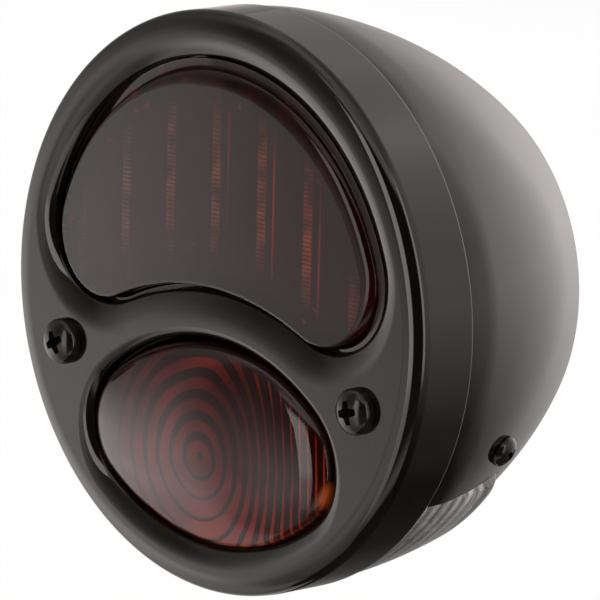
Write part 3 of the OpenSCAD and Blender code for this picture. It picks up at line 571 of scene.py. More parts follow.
MATERIALS = {
    "gloss_black": paint(),
    "black_screw": screw_black(),
    "zinc_steel": metal("zinc_plate", (0.5, 0.5, 0.49), (0.68, 0.68, 0.66), 0.32, 220),
    "spring_steel": metal("spring_wire", (0.36, 0.36, 0.37), (0.5, 0.5, 0.51), 0.28, 400),
    "brass": metal("brass_sheet", (0.55, 0.38, 0.14), (0.75, 0.55, 0.25), 0.3, 260),
    "filament_wire": metal("filament_wire_grey", (0.3, 0.3, 0.3), (0.45, 0.45, 0.45), 0.4, 500),
    "rubber": matte("black_rubber", (0.016, 0.016, 0.016), (0.034, 0.034, 0.034), 0.72, 320, 0.2),
    "fibre_board": matte("brown_fibre", (0.2, 0.1, 0.05), (0.33, 0.17, 0.09), 0.7, 380, 0.25),
    "black_insulation": matte(
        "black_glass_insulation", (0.018, 0.018, 0.02), (0.04, 0.04, 0.044), 0.2, 200, 0.05
    ),
    "clear_glass": glass("clear_window_glass", (0.97, 0.98, 0.98), 0.02),
    "bulb_glass": glass("thin_bulb_glass", (0.98, 0.98, 0.97), 0.015),
    "ruby_glass": glass("ruby_lens_glass", (0.85, 0.4, 0.36), 0.02),
    "ruby_border": ruby_border(),
    "red_glass": glass("red_lens_glass", (0.95, 0.5, 0.42), 0.015),
    "window_flutes": window_flutes(),
    "ringed_back": ringed_back(),
    "fluted_back": fluted_back(),
}


# Housing and door


def stand_in(obj, body, slot, *nodes):
    """The piece rides a body and stands for CAD nodes, which it hides. Its slot is not used."""
    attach(obj, body)
    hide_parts(*nodes)


def lip_section():
    """Section of a lens lip, a slow bend and then a tight one.

    Its rows are (distance in from the opening's edge, level), and a minus is outwards.
    """
    angle = LIP_BEND_ANGLE
    turn = math.radians(angle)
    width = LIP_BEND_R * math.sin(turn) + LIP_EDGE_R * (1 - math.sin(turn))
    bend = (-width, DEPTH - LIP_BEND_R)
    edge = (-LIP_EDGE_R, bend[1] + (LIP_BEND_R - LIP_EDGE_R) * math.cos(turn))
    front = [
        (-width - 0.1, DEPTH),
        *arc(bend, LIP_BEND_R, 90, 90 - angle, 14),
        *arc(edge, LIP_EDGE_R, 90 - angle, 0, 12)[1:],
    ]
    foot = [(0, LIP_END + MARGIN), (-MARGIN, LIP_END), (-SHEET, LIP_END)]
    inside = [(-SHEET, edge[1] - 0.4), (-SHEET - 0.5, DEPTH - SHEET - 0.55), (-width, DEPTH - SHEET)]
    return front + foot + inside


def make_door():
    """Door with lips that are wide above the bridge between the openings and tight below it."""
    s = Surface()
    ease = math.radians(DOOR_BEND_ANGLE)
    tighten = DOOR_BEND_R - DOOR_CORNER_R
    corner = (RIM_R - DOOR_CORNER_R, DEPTH - DOOR_BEND_R + tighten * math.cos(ease))
    bend = (corner[0] - tighten * math.sin(ease), DEPTH - DOOR_BEND_R)
    inner_r = RIM_R - SHEET
    profile = [
        (bend[0] - MARGIN, DEPTH),
        *arc(bend, DOOR_BEND_R, 90, 90 - DOOR_BEND_ANGLE, 10),
        *arc(corner, DOOR_CORNER_R, 90 - DOOR_BEND_ANGLE, 0, 20)[1:],
        (RIM_R, corner[1] - MARGIN),
        (RIM_R, SEAM_Z + DOOR_ROLL_R + MARGIN),
        *arc((RIM_R - DOOR_ROLL_R, SEAM_Z + DOOR_ROLL_R), DOOR_ROLL_R, 0, -90, 8),
        (inner_r + MARGIN, SEAM_Z),
        (inner_r, SEAM_Z + MARGIN),
        *arc(corner, DOOR_CORNER_R - SHEET, 0, 90 - DOOR_BEND_ANGLE, 8),
        *arc(bend, DOOR_BEND_R - SHEET, 90 - DOOR_BEND_ANGLE, 90, 5)[1:],
    ]
    rows = turned(s, profile, full_turn())
    s.skin(rows)
    faces, backs = [], []
    upper_widths = 1 + 0.6 * UPPER.along_last()
    lower_widths = 0.5 + 0.5 * LOWER.along_last()
    for opening, widths in ((UPPER, upper_widths), (LOWER, lower_widths)):
        rings = [s.add([(*p, z) for p in opening.spread(inset * widths)]) for inset, z in lip_section()]
        s.skin(rings)
        faces.append(rings[0])
        backs.append(rings[-1])
    s.plane(rows[0], faces)
    s.plane(rows[-1], backs)
    stand_in(s.piece("door_skin", [MATERIALS["gloss_black"]], 50), "door", "gloss_black", "door_shell")


def window_angles():
    """Angles round the lamp, closer together in the window and with its two edges among them."""
    edge = WINDOW_HALF_ANGLE
    inside = [-90 - edge + 2 * edge * i / WINDOW_STEPS for i in range(WINDOW_STEPS + 1)]
    outside = [-90 + edge + (360 - 2 * edge) * i / ROUND_STEPS for i in range(1, ROUND_STEPS)]
    return inside + outside


def bowl_sections():
    """Section of the bowl in five stretches: back, front, neck, then the front's and the back's inside."""
    edge_c = (BACK_FLAT_R, BACK_CORNER_R)
    meet = heading((edge_c[0] - SIDE_C[0], edge_c[1] - SIDE_C[1]))
    rim = math.degrees(bowl_lean(BOWL_TOP))
    cut = math.degrees(bowl_lean(WINDOW_Z))
    seam_gap, crisp = 0.04, 0.08
    top = SEAM_Z - seam_gap
    outer = [
        (BACK_FLAT_R - MARGIN, 0.0),
        *arc(edge_c, BACK_CORNER_R, -90, meet, 24),
        *arc(SIDE_C, BOWL_SIDE_R, meet, cut, 40)[1:],
    ]
    drawn_in, draw_length = DOOR_ROLL_R - 0.05, 7
    front = [
        (r - drawn_in * max(0.0, (z - BOWL_TOP + draw_length) / draw_length) ** 2, z)
        for r, z in arc(SIDE_C, BOWL_SIDE_R, cut, rim, 50)[1:]
    ]
    front += [(RIM_R - drawn_in, top - crisp), (RIM_R - drawn_in - crisp, top), (NECK_R + MARGIN, top)]
    neck = [
        (NECK_R, top),
        (NECK_R, NECK_TOP - EDGE_R),
        (NECK_R - EDGE_R, NECK_TOP),
        (NECK_RIM_R + EDGE_R, NECK_TOP),
        (NECK_RIM_R, NECK_TOP - EDGE_R),
        (NECK_RIM_R, NECK_TOP - SHEET),
        (NECK_R - SHEET, NECK_TOP - SHEET),
        (NECK_R - SHEET, BOWL_TOP - SHEET),
    ]
    inner_front = [(bowl_r(z, SHEET), z) for z in np.linspace(BOWL_TOP - SHEET, WINDOW_Z, 20)]
    inner_cut = heading((inner_front[-1][0] - SIDE_C[0], inner_front[-1][1] - SIDE_C[1]))
    inner = [
        *arc(SIDE_C, BOWL_SIDE_R - SHEET, inner_cut, meet, 24)[1:],
        *arc(edge_c, BACK_CORNER_R - SHEET, meet, -90, 12)[1:],
    ]
    return outer, front, neck, inner_front, inner


def outside_window(_, k):
    return k >= WINDOW_STEPS


def make_bowl():
    s = Surface()
    angles = window_angles()
    a, b, c, d, e = (turned(s, section, angles) for section in bowl_sections())
    s.skin(a)
    s.skin([a[-1], *b], keep=outside_window)
    s.skin([b[-1], c[0]], keep=outside_window)
    s.skin(c)
    s.skin([c[-1], *d], keep=outside_window, slot=1)
    s.skin([d[-1], *e], slot=1)
    for k in range(WINDOW_STEPS):
        s.face((a[-1][k], a[-1][k + 1], d[-1][k + 1], d[-1][k]))
        s.face((c[0][k], c[0][k + 1], c[-1][k + 1], c[-1][k]))
    for k in (0, WINDOW_STEPS):
        edge_out = [row[k] for row in [a[-1], *b]]
        edge_in = [row[k] for row in d]
        s.face(edge_out + edge_in)
    holes = [((x, STUD[1]), STUD_HOLE_R) for x in (-STUD[0], STUD[0])] + [(INLET, INLET_R)]
    rims = []
    for at, r in holes:
        circle = arc(at, r, 0, 360, 48)[:-1]
        rims.append([s.add([(*p, z) for p in circle]) for z in (0.0, SHEET)])
    for pair in rims:
        s.skin(pair)
    s.plane(a[0], [pair[0] for pair in rims])
    s.plane(e[-1], [pair[1] for pair in rims], slot=1)
    finishes = [MATERIALS["gloss_black"], MATERIALS["zinc_steel"]]
    stand_in(s.piece("bowl_skin", finishes, 50), "housing", "gloss_black", "housing_bowl")


def make_window():
    """Clear glass: smooth outside, fluted inside, with a softened rear edge and ends flush with the bowl."""
    s = Surface()
    end_gap, end_fall = 0.23, 4.0
    half = WINDOW_HALF_ANGLE - end_gap
    steps = 150
    angles = [-90 - half + 2 * half * i / steps for i in range(steps + 1)]
    near_end = [min(1.0, max(0.0, 1 - (half - abs(a + 90)) / end_fall)) for a in angles]
    drops = [1 - math.sqrt(1 - t * t) for t in near_end]
    gap, lip_r, lip_thick = 0.2, 53.0, 1.1
    z0, z1 = WINDOW_Z + gap, BOWL_TOP - gap
    chamfer, flute_depth = 2.0, 0.6
    bend = []
    for t in (0.1, 0.25, 0.5, 0.75, 1):
        level = z0 + chamfer - chamfer * math.sqrt(1 - (1 - t) ** 2)
        bend.append((glass_r(z0 + chamfer) - chamfer * t, level))
    outer = [(lip_r, z1), (glass_r(z1) - EDGE_R, z1), (glass_r(z1), z1 - EDGE_R)]
    outer += [(glass_r(z), z) for z in np.linspace(z1 - 2 * EDGE_R, z0 + chamfer, 24)]
    inner = []
    for z in np.linspace(z0, z1 - lip_thick, 97):
        depth = flute_depth * (0.5 - 0.5 * math.cos(2 * math.pi * (z - z0) / FLUTE_PITCH))
        inner.append((bowl_r(z) - GLASS_IN + depth, z))
    profile = outer + bend + inner + [(lip_r, z1 - lip_thick)]
    rows = []
    for r, z in profile:
        proud = max(0.0, r - bowl_r(z) + 0.15)
        rows.append(s.add([(*polar((0, 0), r - proud * drop, a), z) for a, drop in zip(angles, drops)]))
    back = len(outer) + len(bend) - 1
    s.skin(rows[: back + 1], closed=False)
    s.skin(rows[back:] + [rows[0]], closed=False, slot=1)
    s.face([row[0] for row in rows])
    s.face([row[-1] for row in rows])
    glasses = [MATERIALS["clear_glass"], MATERIALS["window_flutes"]]
    stand_in(s.piece("window_glass", glasses, 40), "housing", "clear_glass", "window_lens")


# Lenses


def membrane(rings):
    """Height of an even pressure dome over a flat outline.

    It is 0 on the first ring and 1 at the top. The last ring is a single point.
    """
    n = len(rings[0])
    points = np.array([p for ring in rings for p in ring])
    count = len(points)
    start = np.cumsum([0] + [len(ring) for ring in rings])
    triangles = []
    for i in range(len(rings) - 1):
        a, b = start[i], start[i + 1]
        for k in range(n):
            k2 = (k + 1) % n
            if len(rings[i + 1]) == 1:
                triangles.append((a + k, a + k2, b))
            else:
                triangles += [(a + k, a + k2, b + k2), (a + k, b + k2, b + k)]
    matrix, load = np.zeros((count, count)), np.zeros(count)
    for tri in triangles:
        p = points[list(tri)]
        area = 0.5 * abs(np.cross(p[1] - p[0], p[2] - p[0]))
        for u in range(3):
            load[tri[u]] += area / 3
            for v in range(3):
                eu, ev = p[(u + 2) % 3] - p[(u + 1) % 3], p[(v + 2) % 3] - p[(v + 1) % 3]
                matrix[tri[u], tri[v]] += eu @ ev / (4 * area)
    height = np.zeros(count)
    height[n:] = np.linalg.solve(matrix[n:, n:], load[n:])
    height /= height.max()
    return [height[start[i] : start[i + 1]] for i in range(len(rings))]


def drawn_to(points, centre, share):
    """Points drawn to a centre until a share of their distance from it is left."""
    return [(centre[0] + share * (x - centre[0]), centre[1] + share * (y - centre[1])) for x, y in points]


def core_rings(opening, inset, centre, shares, **detail):
    """Flat rings of an opening that is moved in by an inset and then drawn together to the centre."""
    edge = opening.loop(inset, **detail)
    return [drawn_to(edge, centre, share) for share in shares]


def lens_back(s, opening, widths, ceiling, centre, detail):
    """Hollow back of a lens, from the flange's foot up to its patterned ceiling. Returns the foot's row."""
    rows = []
    for further, z in ((0, FLANGE_BACK), (0, ceiling - 0.6), (0.2, ceiling - 0.2), (0.6, ceiling)):
        flat = opening.spread(widths + further, **detail)
        rows.append(s.add([(*p, z) for p in flat]))
    for share in (0.8, 0.5, 0.2):
        rows.append(s.add([(*p, ceiling) for p in drawn_to(flat, centre, share)]))
    s.skin(rows, slot=1)
    s.face(rows[-1], 1)
    return rows[0]


def lens_rim(s, opening, top, foot, detail, slot=0):
    """Side and hidden flange of a lens, between the foot of its front and the mouth of its back."""
    soft = 0.2
    section = [
        (LENS_GAP, FLANGE_FRONT),
        (soft - LENS_FLANGE, FLANGE_FRONT),
        (-LENS_FLANGE, FLANGE_FRONT - soft),
        (-LENS_FLANGE, FLANGE_BACK + soft),
        (soft - LENS_FLANGE, FLANGE_BACK),
    ]
    rows = [s.add([(*p, z) for p in opening.loop(inset, **detail)]) for inset, z in section]
    s.skin([top, *rows, foot], slot=slot)


def make_upper_lens():
    """Kidney with a flat raised plateau and a rounded step down to a ledge.

    The ledge lies deeper on the left and along the arch.
    """
    s = Surface()
    detail = {"step": 3, "reach": 1.1}
    centre = (0, 23.9)
    top_z, reach, fillet = DEPTH + 0.8, 13.6, 0.35
    arch = UPPER.along_last(**detail)
    lean = np.array([np.clip(0.5 + (x + 0.5 * y) / 40, 0, 1) for x, y in UPPER.loop(0, **detail)])
    ledge = LENS_GAP + 0.7 * arch + (2.2 - 0.6 * lean) * (1 - arch)
    step = 0.4 * arch + (1.6 + 1.5 * lean) * (1 - arch)
    ledge_z = GROOVE_Z + 2.0 * lean * (1 - arch)
    foot = ledge_z + fillet

    def crown(x):
        return top_z - 0.5 * (x / 38) ** 2

    def ring(insets, low, share=0.0):
        """Row of points that stand at a share of the way from a low level to the crown."""
        flat = UPPER.spread(insets, **detail)
        return s.add([(x, y, z + (crown(x) - z) * share) for (x, y), z in zip(flat, low)])

    rows = [ring(0 * ledge + LENS_GAP, ledge_z), ring(0 * ledge + LENS_GAP + 0.1, ledge_z)]
    for t in np.radians(np.linspace(0, 75, 6)):
        rows.append(ring(ledge - fillet + fillet * math.sin(t), ledge_z + fillet * (1 - math.cos(t))))
    for t in np.radians(np.linspace(80, 0, 21)):
        rows.append(ring(ledge + step * (1 - math.sin(t)), foot, math.cos(t)))
    border = len(rows)
    for t in (0.04, 0.3, 0.6, 1.0):
        rows.append(ring(ledge + step + (reach - ledge - step) * t, foot, 1.0))
    for flat in core_rings(UPPER, reach, centre, (0.75, 0.45, 0.15), **detail):
        rows.append(s.add([(x, y, crown(x)) for x, y in flat]))
    s.skin(rows[:border], slot=2)
    s.skin(rows[border - 1 :])
    s.face(rows[-1])
    mouth = lens_back(s, UPPER, LENS_GAP + 2.6 - 1.9 * arch, DEPTH - 2.4, centre, detail)
    lens_rim(s, UPPER, rows[0], mouth, detail, slot=2)
    glasses = [MATERIALS[slot] for slot in ("ruby_glass", "fluted_back", "ruby_border")]
    piece = s.piece("upper_lens_glass", glasses, 40)
    stand_in(piece, "door", "ruby_glass", "upper_lens")


def make_lower_lens():
    """Lemon-shaped dome with rings moulded on its back and a groove that is wider on the left."""
    s = Surface()
    detail = {"step": 3.5, "reach": 1.6}
    centre = (0, -26.5)
    foot_z, rise, reach = DEPTH - 0.9, 5.5, 12.4
    leftward = np.array([np.clip(0.5 - x / 30, 0, 1) for x, _ in LOWER.loop(0, **detail)])
    groove = LENS_GAP + 0.1 + 1.4 * leftward
    steps = (0, 0.008, 0.02, 0.04, 0.07, 0.11, 0.16, 0.23, 0.31, 0.4, 0.5, 0.6, 0.7, 0.8, 0.9, 1)
    rings = [LOWER.spread(groove + (reach - groove) * t, **detail) for t in steps]
    rings += core_rings(LOWER, reach, centre, (0.85, 0.7, 0.55, 0.4, 0.25, 0.12), **detail)
    rings.append([centre])
    heights = membrane(rings)
    edges = (0 * groove + LENS_GAP, groove - 0.05)
    rows = [s.add([(*p, GROOVE_Z) for p in LOWER.spread(edge, **detail)]) for edge in edges]
    rows += [
        s.add([(*p, foot_z + rise * math.sqrt(max(h, 0.0))) for p, h in zip(ring, height)])
        for ring, height in zip(rings, heights)
    ]
    s.skin(rows[:-1])
    tip, last = rows[-1][0], rows[-2]
    for k in range(len(last)):
        s.face((last[k], last[(k + 1) % len(last)], tip))
    mouth = lens_back(s, LOWER, 0 * groove + LENS_GAP + 0.7, DEPTH - 1.0, centre, detail)
    lens_rim(s, LOWER, rows[0], mouth, detail)
    piece = s.piece("lower_lens_glass", [MATERIALS["red_glass"], MATERIALS["ringed_back"]], 40)
    subdivide(piece, 1)
    stand_in(piece, "door", "red_glass", "lower_lens")


def subdivide(obj, levels):
    made = obj.modifiers.new("smooth", "SUBSURF")
    made.levels = made.render_levels = levels


# Screws, studs and springs


def threaded(z0, z1, radius, pitch, depth, sides=28):
    """Surface of a rod along Z with a helical thread between two levels."""
    s = Surface()
    steps = max(8, round((z1 - z0) / pitch * 6))
    rows = []
    for i in range(steps + 1):
        z = z0 + (z1 - z0) * i / steps
        ring = []
        for k in range(sides):
            phase = ((z / pitch) - k / sides) % 1.0
            ring.append((*polar((0, 0), radius - depth * abs(2 * phase - 1), 360 * k / sides), z))
        rows.append(s.add(ring))
    s.capped(rows)
    return s


def pan_head(radius, height, turn):
    """Pan head standing up from level zero, with a tapered cross recess turned by an angle."""
    s = Surface()
    wall = height * 0.55
    crown = height - wall
    dome_r = (radius**2 + crown**2) / (2 * crown)
    soft = 0.9
    profile = [(radius - 0.1, 0.0), (radius, 0.1), (radius, wall - soft)]
    side_a = math.degrees(math.acos((radius - soft) / dome_r))
    shoulder = polar((0, height - dome_r), dome_r, side_a)
    for t in np.linspace(0.2, 1, 5):
        first, middle, last = (1 - t) ** 2, 2 * t * (1 - t), t * t
        r = (first + middle) * radius + last * shoulder[0]
        level = first * (wall - soft) + middle * (wall + 0.1) + last * shoulder[1]
        profile.append((r, level))
    profile += arc((0, height - dome_r), dome_r, side_a, 88.5, 14)[1:]
    rows = turned(s, profile, full_turn(72))
    s.capped(rows)
    head = s.piece("head", [])
    cutter = Surface()
    arm, waist = radius * 0.5, radius * 0.13
    root = waist * 1.4
    cross = [(arm, -waist), (arm, waist), (root, root), (waist, arm), (-waist, arm), (-root, root)]
    cross += [(-x, -y) for x, y in cross]
    loops = []
    for z, scale in ((height + 0.6, 1.08), (height * 0.35, 0.9), (height * 0.12, 0.4)):
        corners = [polar((0, 0), math.hypot(*at) * scale, heading(at) + turn) for at in cross]
        loops.append(cutter.add([(*p, z) for p in corners]))
    cutter.capped(loops)
    tool = cutter.piece("recess", [])
    cut = head.modifiers.new("recess", "BOOLEAN")
    cut.object, cut.operation, cut.solver = tool, "DIFFERENCE", "EXACT"
    result = bpy.data.meshes.new_from_object(head.evaluated_get(bpy.context.evaluated_depsgraph_get()))
    for obj in (head, tool):
        bpy.data.objects.remove(obj)
    return result


def place(at, normal):
    """Matrix, in metres, that sets a piece on a point of the lamp with its own Z along a normal."""
    up = Vector((normal[0], -normal[2], normal[1])).normalized()
    spot = Vector((at[0], -at[2], at[1])) * MM
    return Matrix.Translation(spot) @ Vector((0, -1, 0)).rotation_difference(up).to_matrix().to_4x4()


def joined(name, parts, material, sharp=32):
    """One object of several (mesh, matrix) parts with one material."""
    bm = bmesh.new()
    for mesh, matrix in parts:
        copy = mesh.copy()
        copy.transform(matrix)
        bm.from_mesh(copy)
    mesh = bpy.data.meshes.new(name)
    bm.to_mesh(mesh)
    bm.free()
    mesh.materials.clear()
    mesh.materials.append(material)
    mesh.polygons.foreach_set("material_index", [0] * len(mesh.polygons))
    return finished(name, mesh, sharp)


def soften(obj, width):
    made = obj.modifiers.new("soft_edges", "BEVEL")
    made.width = width * MM
    made.segments = 2
    made.limit_method = "ANGLE"
    made.angle_limit = math.radians(40)
    made.harden_normals = True


def loose_mesh(surface):
    obj = surface.piece("loose", [])
    mesh = obj.data
    bpy.data.objects.remove(obj)
    return mesh


def make_door_screws():
    shank = loose_mesh(threaded(-25, 0.2, radius=2.0, pitch=0.8, depth=0.35))
    parts = []
    for side, turn in ((-1, 28), (1, 14)):
        spot = place((side * DOOR_SCREW[0], DOOR_SCREW[1], DEPTH), (0, 0, 1))
        parts += [(pan_head(radius=4.3, height=3.2, turn=turn), spot), (shank, spot)]
    piece = joined("door_screw_pair", parts, MATERIALS["black_screw"])
    soften(piece, 0.1)
    stand_in(piece, "door", "black_screw", "door_screws")


def make_side_screws():
    shank = loose_mesh(threaded(-5.6, 0.2, radius=1.5, pitch=0.7, depth=0.25))
    off_window = 7.9
    angle = 90 - WINDOW_HALF_ANGLE - math.degrees(off_window / bowl_r(SIDE_SCREW_Z))
    lean = bowl_lean(SIDE_SCREW_Z)
    parts = []
    for a, turn in ((-angle, 20), (angle - 180, 50)):
        x, y = polar((0, 0), 1, a)
        r = bowl_r(SIDE_SCREW_Z)
        normal = (x * math.cos(lean), y * math.cos(lean), math.sin(lean))
        spot = place((x * r, y * r, SIDE_SCREW_Z), normal)
        parts += [(pan_head(radius=3.0, height=2.2, turn=turn), spot), (shank, spot)]
    piece = joined("window_screw_pair", parts, MATERIALS["black_screw"])
    soften(piece, 0.08)
    stand_in(piece, "housing", "black_screw", "window_screws")


def make_studs():
    """Mounting studs: threaded behind the back face, with a collar in the sheet and a head inside."""
    rod = loose_mesh(threaded(-10, 0.4, radius=3.175, pitch=1.27, depth=0.5, sides=40))
    s = Surface()
    collar_r, head_r = 3.575, 4.5
    profile = [(collar_r, 0.0), (collar_r, 2.2)]
    profile += [(head_r - 0.2, 2.2), (head_r, 2.4), (head_r, 4.1), (head_r - 0.3, 4.4)]
    rows = turned(s, profile, full_turn(64))
    s.capped(rows)
    head = loose_mesh(s)
    spots = [place((side * STUD[0], STUD[1], 0), (0, 0, 1)) for side in (-1, 1)]
    parts = [(mesh, spot) for spot in spots for mesh in (rod, head)]
    stand_in(joined("stud_pair", parts, MATERIALS["zinc_steel"]), "housing", "zinc_steel", "mounting_studs")


def make_contact_springs():
    """Wire springs under the socket contacts, which in the lamp shorten as the bulbs are pressed in; each is
    built here at one fixed length.
    """
    in_turn = 32
    steps = SPRING_TURNS * in_turn
    for lamp, y in SOCKET_Y.items():
        s = Surface()
        rows = []
        for i in range(steps + 1):
            level = SPRING_Z + SPRING_WIRE_R + (SPRING_LEN - 2 * SPRING_WIRE_R) * i / steps
            section = arc((SPRING_R, level), SPRING_WIRE_R, 0, 360, 10)[:-1]
            rows.append(s.add([(*polar((0, y), r, 360 * i / in_turn), z) for r, z in section]))
        s.capped(rows)
        piece = s.piece(f"{lamp}_spring_coil", [MATERIALS["spring_steel"]])
        stand_in(piece, "housing", "spring_steel", f"{lamp}_contact_spring")
        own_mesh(piece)


# Pieces inside, which show as the CAD model has them

RUBBER_NODES = ("door_seal", "window_gasket", "wire_grommet")
HOUSING_NODES = ("door_screw_tabs", "window_strap", "socket_plate", "light_divider")
FASTENER_NODES = ("socket_rivets", "divider_rivets", "retainer_studs", "retainer_nuts")
ZINC_NODES = (*HOUSING_NODES, *FASTENER_NODES, "lens_retainer")


def node_slots():
    """Material slot of each CAD node that stays in view."""
    slots = {}
    for lamp in SOCKET_Y:
        slots |= {
            f"{lamp}_socket": "zinc_steel",
            f"{lamp}_insulator": "fibre_board",
            f"{lamp}_contact_disc": "fibre_board",
            f"{lamp}_contact_tip": "brass",
            f"{lamp}_bulb_cap": "brass",
            f"{lamp}_bulb_contact": "black_insulation",
            f"{lamp}_bulb_glass": "bulb_glass",
            f"{lamp}_bulb_filament": "filament_wire",
            f"{lamp}_lens_gasket": "rubber",
        }
    slots |= dict.fromkeys(RUBBER_NODES, "rubber")
    slots |= dict.fromkeys(ZINC_NODES, "zinc_steel")
    return slots


def dress_cad_nodes():
    """Procedural materials and smooth shading on the CAD nodes that stay in view."""
    for name, slot in node_slots().items():
        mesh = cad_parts[name].data
        mesh.materials.clear()
        mesh.materials.append(MATERIALS[slot])
        mesh.polygons.foreach_set("use_smooth", [True] * len(mesh.polygons))
        mesh.set_sharp_from_angle(angle=math.radians(32))


make_door()
make_bowl()
make_window()
make_upper_lens()
make_lower_lens()
make_door_screws()
make_side_screws()
make_studs()
make_contact_springs()
dress_cad_nodes()


# Studio: a white room, with curved cards that only show in the gloss

CAMERA_AZIMUTH = 46.65
CARD_TINT = (1.0, 0.945, 0.925, 1)
FLOOR_Y = -160
FLOOR_HALF = 4000


def fade(values, first, last):
    """Cover along one side of a card, which fades out over a width at its first and last end."""
    cover = np.ones(len(values))
    if first:
        cover = np.minimum(cover, (values - values[0]) / first)
    if last:
        cover = np.minimum(cover, (values[-1] - values) / last)
    return np.clip(cover, 0, 1)


def card_light(name):
    """Light of a card, as bright as the glow of its points and as dense as their cover."""
    material = bpy.data.materials.new(name + "_light")
    material.use_nodes = True
    tree = material.node_tree
    tree.nodes.clear()
    glow = tree.nodes.new("ShaderNodeAttribute")
    glow.attribute_name = "glow"
    cover = tree.nodes.new("ShaderNodeAttribute")
    cover.attribute_name = "cover"
    emission = tree.nodes.new("ShaderNodeEmission")
    emission.inputs["Color"].default_value = CARD_TINT
    see_through = tree.nodes.new("ShaderNodeBsdfTransparent")
    blend = tree.nodes.new("ShaderNodeMixShader")
    output = tree.nodes.new("ShaderNodeOutputMaterial")
    tree.links.new(glow.outputs["Fac"], emission.inputs["Strength"])
    tree.links.new(cover.outputs["Fac"], blend.inputs["Fac"])
    tree.links.new(see_through.outputs["BSDF"], blend.inputs[1])
    tree.links.new(emission.outputs["Emission"], blend.inputs[2])
    tree.links.new(blend.outputs["Shader"], output.inputs["Surface"])
    return material


def card(name, stops, rows, distance=1.5, soft=(0, 0, 0, 0)):
    """Curved card round the lamp that only shows in its gloss.

    stops are (azimuth from the camera, brightness) and rows are (elevation, factor). soft gives the degrees
    over which the card fades out at its left, right, lower and upper edge.
    """
    grid = 2.0
    columns = np.arange(stops[0][0], stops[-1][0] + 0.1, grid)
    levels = np.arange(rows[0][0], rows[-1][0] + 0.1, grid)
    across = np.interp(columns, *zip(*stops))
    upward = np.interp(levels, *zip(*rows))
    glow = np.outer(upward, across).ravel()
    cover = np.outer(fade(levels, *soft[2:]), fade(columns, *soft[:2])).ravel()
    turns = np.radians(columns + CAMERA_AZIMUTH)
    points = []
    for rise in np.radians(levels):
        reach, height = distance * math.cos(rise), distance * math.sin(rise)
        points += [(reach * math.sin(turn), -reach * math.cos(turn), height) for turn in turns]
    n = len(columns)
    faces = [
        (i * n + k, i * n + k + 1, (i + 1) * n + k + 1, (i + 1) * n + k)
        for i in range(len(levels) - 1)
        for k in range(n - 1)
    ]
    mesh = bpy.data.meshes.new(name)
    mesh.from_pydata(points, [], faces)
    for attribute, values in (("glow", glow), ("cover", cover)):
        mesh.attributes.new(attribute, "FLOAT", "POINT").data.foreach_set("value", values)
    mesh.materials.append(card_light(name))
    obj = bpy.data.objects.new(name, mesh)
    bpy.context.scene.collection.objects.link(obj)
    obj.visible_camera = obj.visible_diffuse = obj.visible_shadow = obj.visible_transmission = False


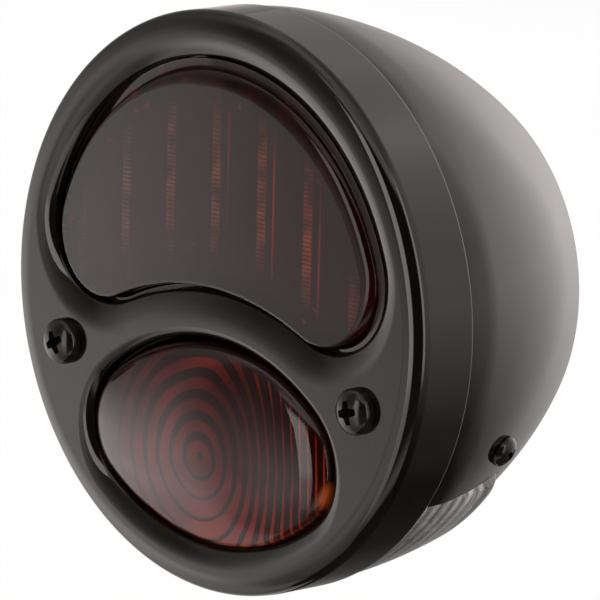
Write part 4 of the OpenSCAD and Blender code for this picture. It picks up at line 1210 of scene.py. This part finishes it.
def make_studio():
    card(
        "dark_opening",
        [(-45, 0.015), (20, 0.015)],
        [(-60, 50), (-44, 45), (-37, 18), (-32, 4), (-12, 1), (40, 1)],
        distance=1.3,
        soft=(0, 0, 10, 6),
    )
    card(
        "left_strip",
        [(-60, 2.7), (-45, 2.5)],
        [(-46, 0.3), (-30, 0.5), (-18, 0.6), (-13, 1), (32, 1)],
        distance=1.3,
        soft=(0, 0, 8, 8),
    )
    card(
        "right_strip",
        [(20, 2.8), (36, 2.3)],
        [(-24, 0.8), (0, 1), (50, 1)],
        distance=1.3,
        soft=(0, 3, 8, 10),
    )
    card(
        "top_strip",
        [(-64, 1.0), (0, 1.0), (12, 1.5)],
        [(38, 1), (58, 1)],
        distance=1.4,
        soft=(6, 0, 4, 8),
    )
    left_back = [(-180, 1.5), (-165, 1.2), (-150, 0.9), (-135, 0.95), (-115, 1.5), (-100, 1.5)]
    left_side = [(-96, 1.45), (-90, 0.85), (-88, 0.7), (-84, 0.6), (-78, 0.75), (-45, 0.75)]
    left_low = [(-68, 0.35), (-60, 0.5), (-46, 0.6), (-36, 0.75), (-24, 1.35), (-14, 1.26)]
    left_high = [(-8, 0.93), (0, 0.51), (10, 0.28), (20, 0.2), (44, 0.28), (70, 0.6)]
    card("left_room", left_back + left_side, left_low + left_high, distance=1.5, soft=(0, 0, 0, 12))
    card(
        "right_upper",
        [(12, 0.8), (80, 0.9), (96, 1.1), (108, 1.4), (123, 1.27), (149, 1.02), (165, 0.75), (180, 0.5)],
        [(16, 1), (46, 1), (54, 0.6), (64, 0.4)],
        distance=1.45,
        soft=(0, 0, 16, 6),
    )
    right_side = [(12, 0.7), (70, 0.62), (95, 0.74), (108, 1.18), (118, 1.25)]
    right_back = [(130, 1.42), (145, 1.6), (160, 1.0), (172, 0.55), (180, 0.4)]
    card(
        "right_room",
        right_side + right_back,
        [(-60, 0.02), (-46, 0.03), (-34, 0.17), (-22, 0.5), (-10, 0.86), (0, 1.15), (10, 1.22), (40, 1.15)],
        distance=1.5,
    )
    card("table", [(-180, 0.03), (180, 0.03)], [(-90, 1), (-50, 1)], distance=1.6)
    card(
        "ceiling",
        [(-180, 0.42), (-140, 0.75), (-40, 0.9), (20, 0.6), (90, 0.35), (180, 0.42)],
        [(40, 1), (90, 1)],
        distance=1.7,
    )


def make_floor():
    s = Surface()
    corners = ((-1, -1), (1, -1), (1, 1), (-1, 1))
    s.face(s.add([(x * FLOOR_HALF, FLOOR_Y, z * FLOOR_HALF) for x, z in corners]))
    n = Nodes("pale_floor")
    n.colour(n.ramp(n.noise(3, 2), (0.3, 0.98), (0.7, 0.99)))
    n.set(Roughness=0.9)
    floor = s.piece("floor", [n.material])
    floor.visible_glossy = False


def make_world():
    world = bpy.data.worlds.new("white_room")
    world.use_nodes = True
    background = world.node_tree.nodes["Background"]
    background.inputs["Color"].default_value = (1, 1, 1, 1)
    background.inputs["Strength"].default_value = 1.0
    bpy.context.scene.world = world


def make_camera():
    """Camera at the photograph's angle: a long lens, with the lamp in the middle of a square frame."""
    data = bpy.data.cameras.new("camera")
    data.sensor_width = 36
    data.lens = 394.98
    data.clip_end = 50
    at = Vector((855.76, -868.80, 234.81)) * MM
    forward = Vector((-0.71314, 0.67316, -0.19568))
    right = Vector((0.68310, 0.73000, 0.02180))
    up = Vector((-0.15752, 0.11812, 0.98043))
    aim_right, aim_up = 0.013717, 0.000865
    forward = (forward + aim_right * right + aim_up * up).normalized()
    right = (right - forward * right.dot(forward)).normalized()
    up = right.cross(forward)
    facing = Matrix((right, up, -forward)).transposed().to_4x4()
    camera = bpy.data.objects.new("camera", data)
    camera.matrix_world = Matrix.Translation(at) @ facing
    bpy.context.scene.collection.objects.link(camera)
    bpy.context.scene.camera = camera


make_studio()
make_floor()
make_world()
make_camera()
bpy.context.scene.view_settings.view_transform = "Standard"
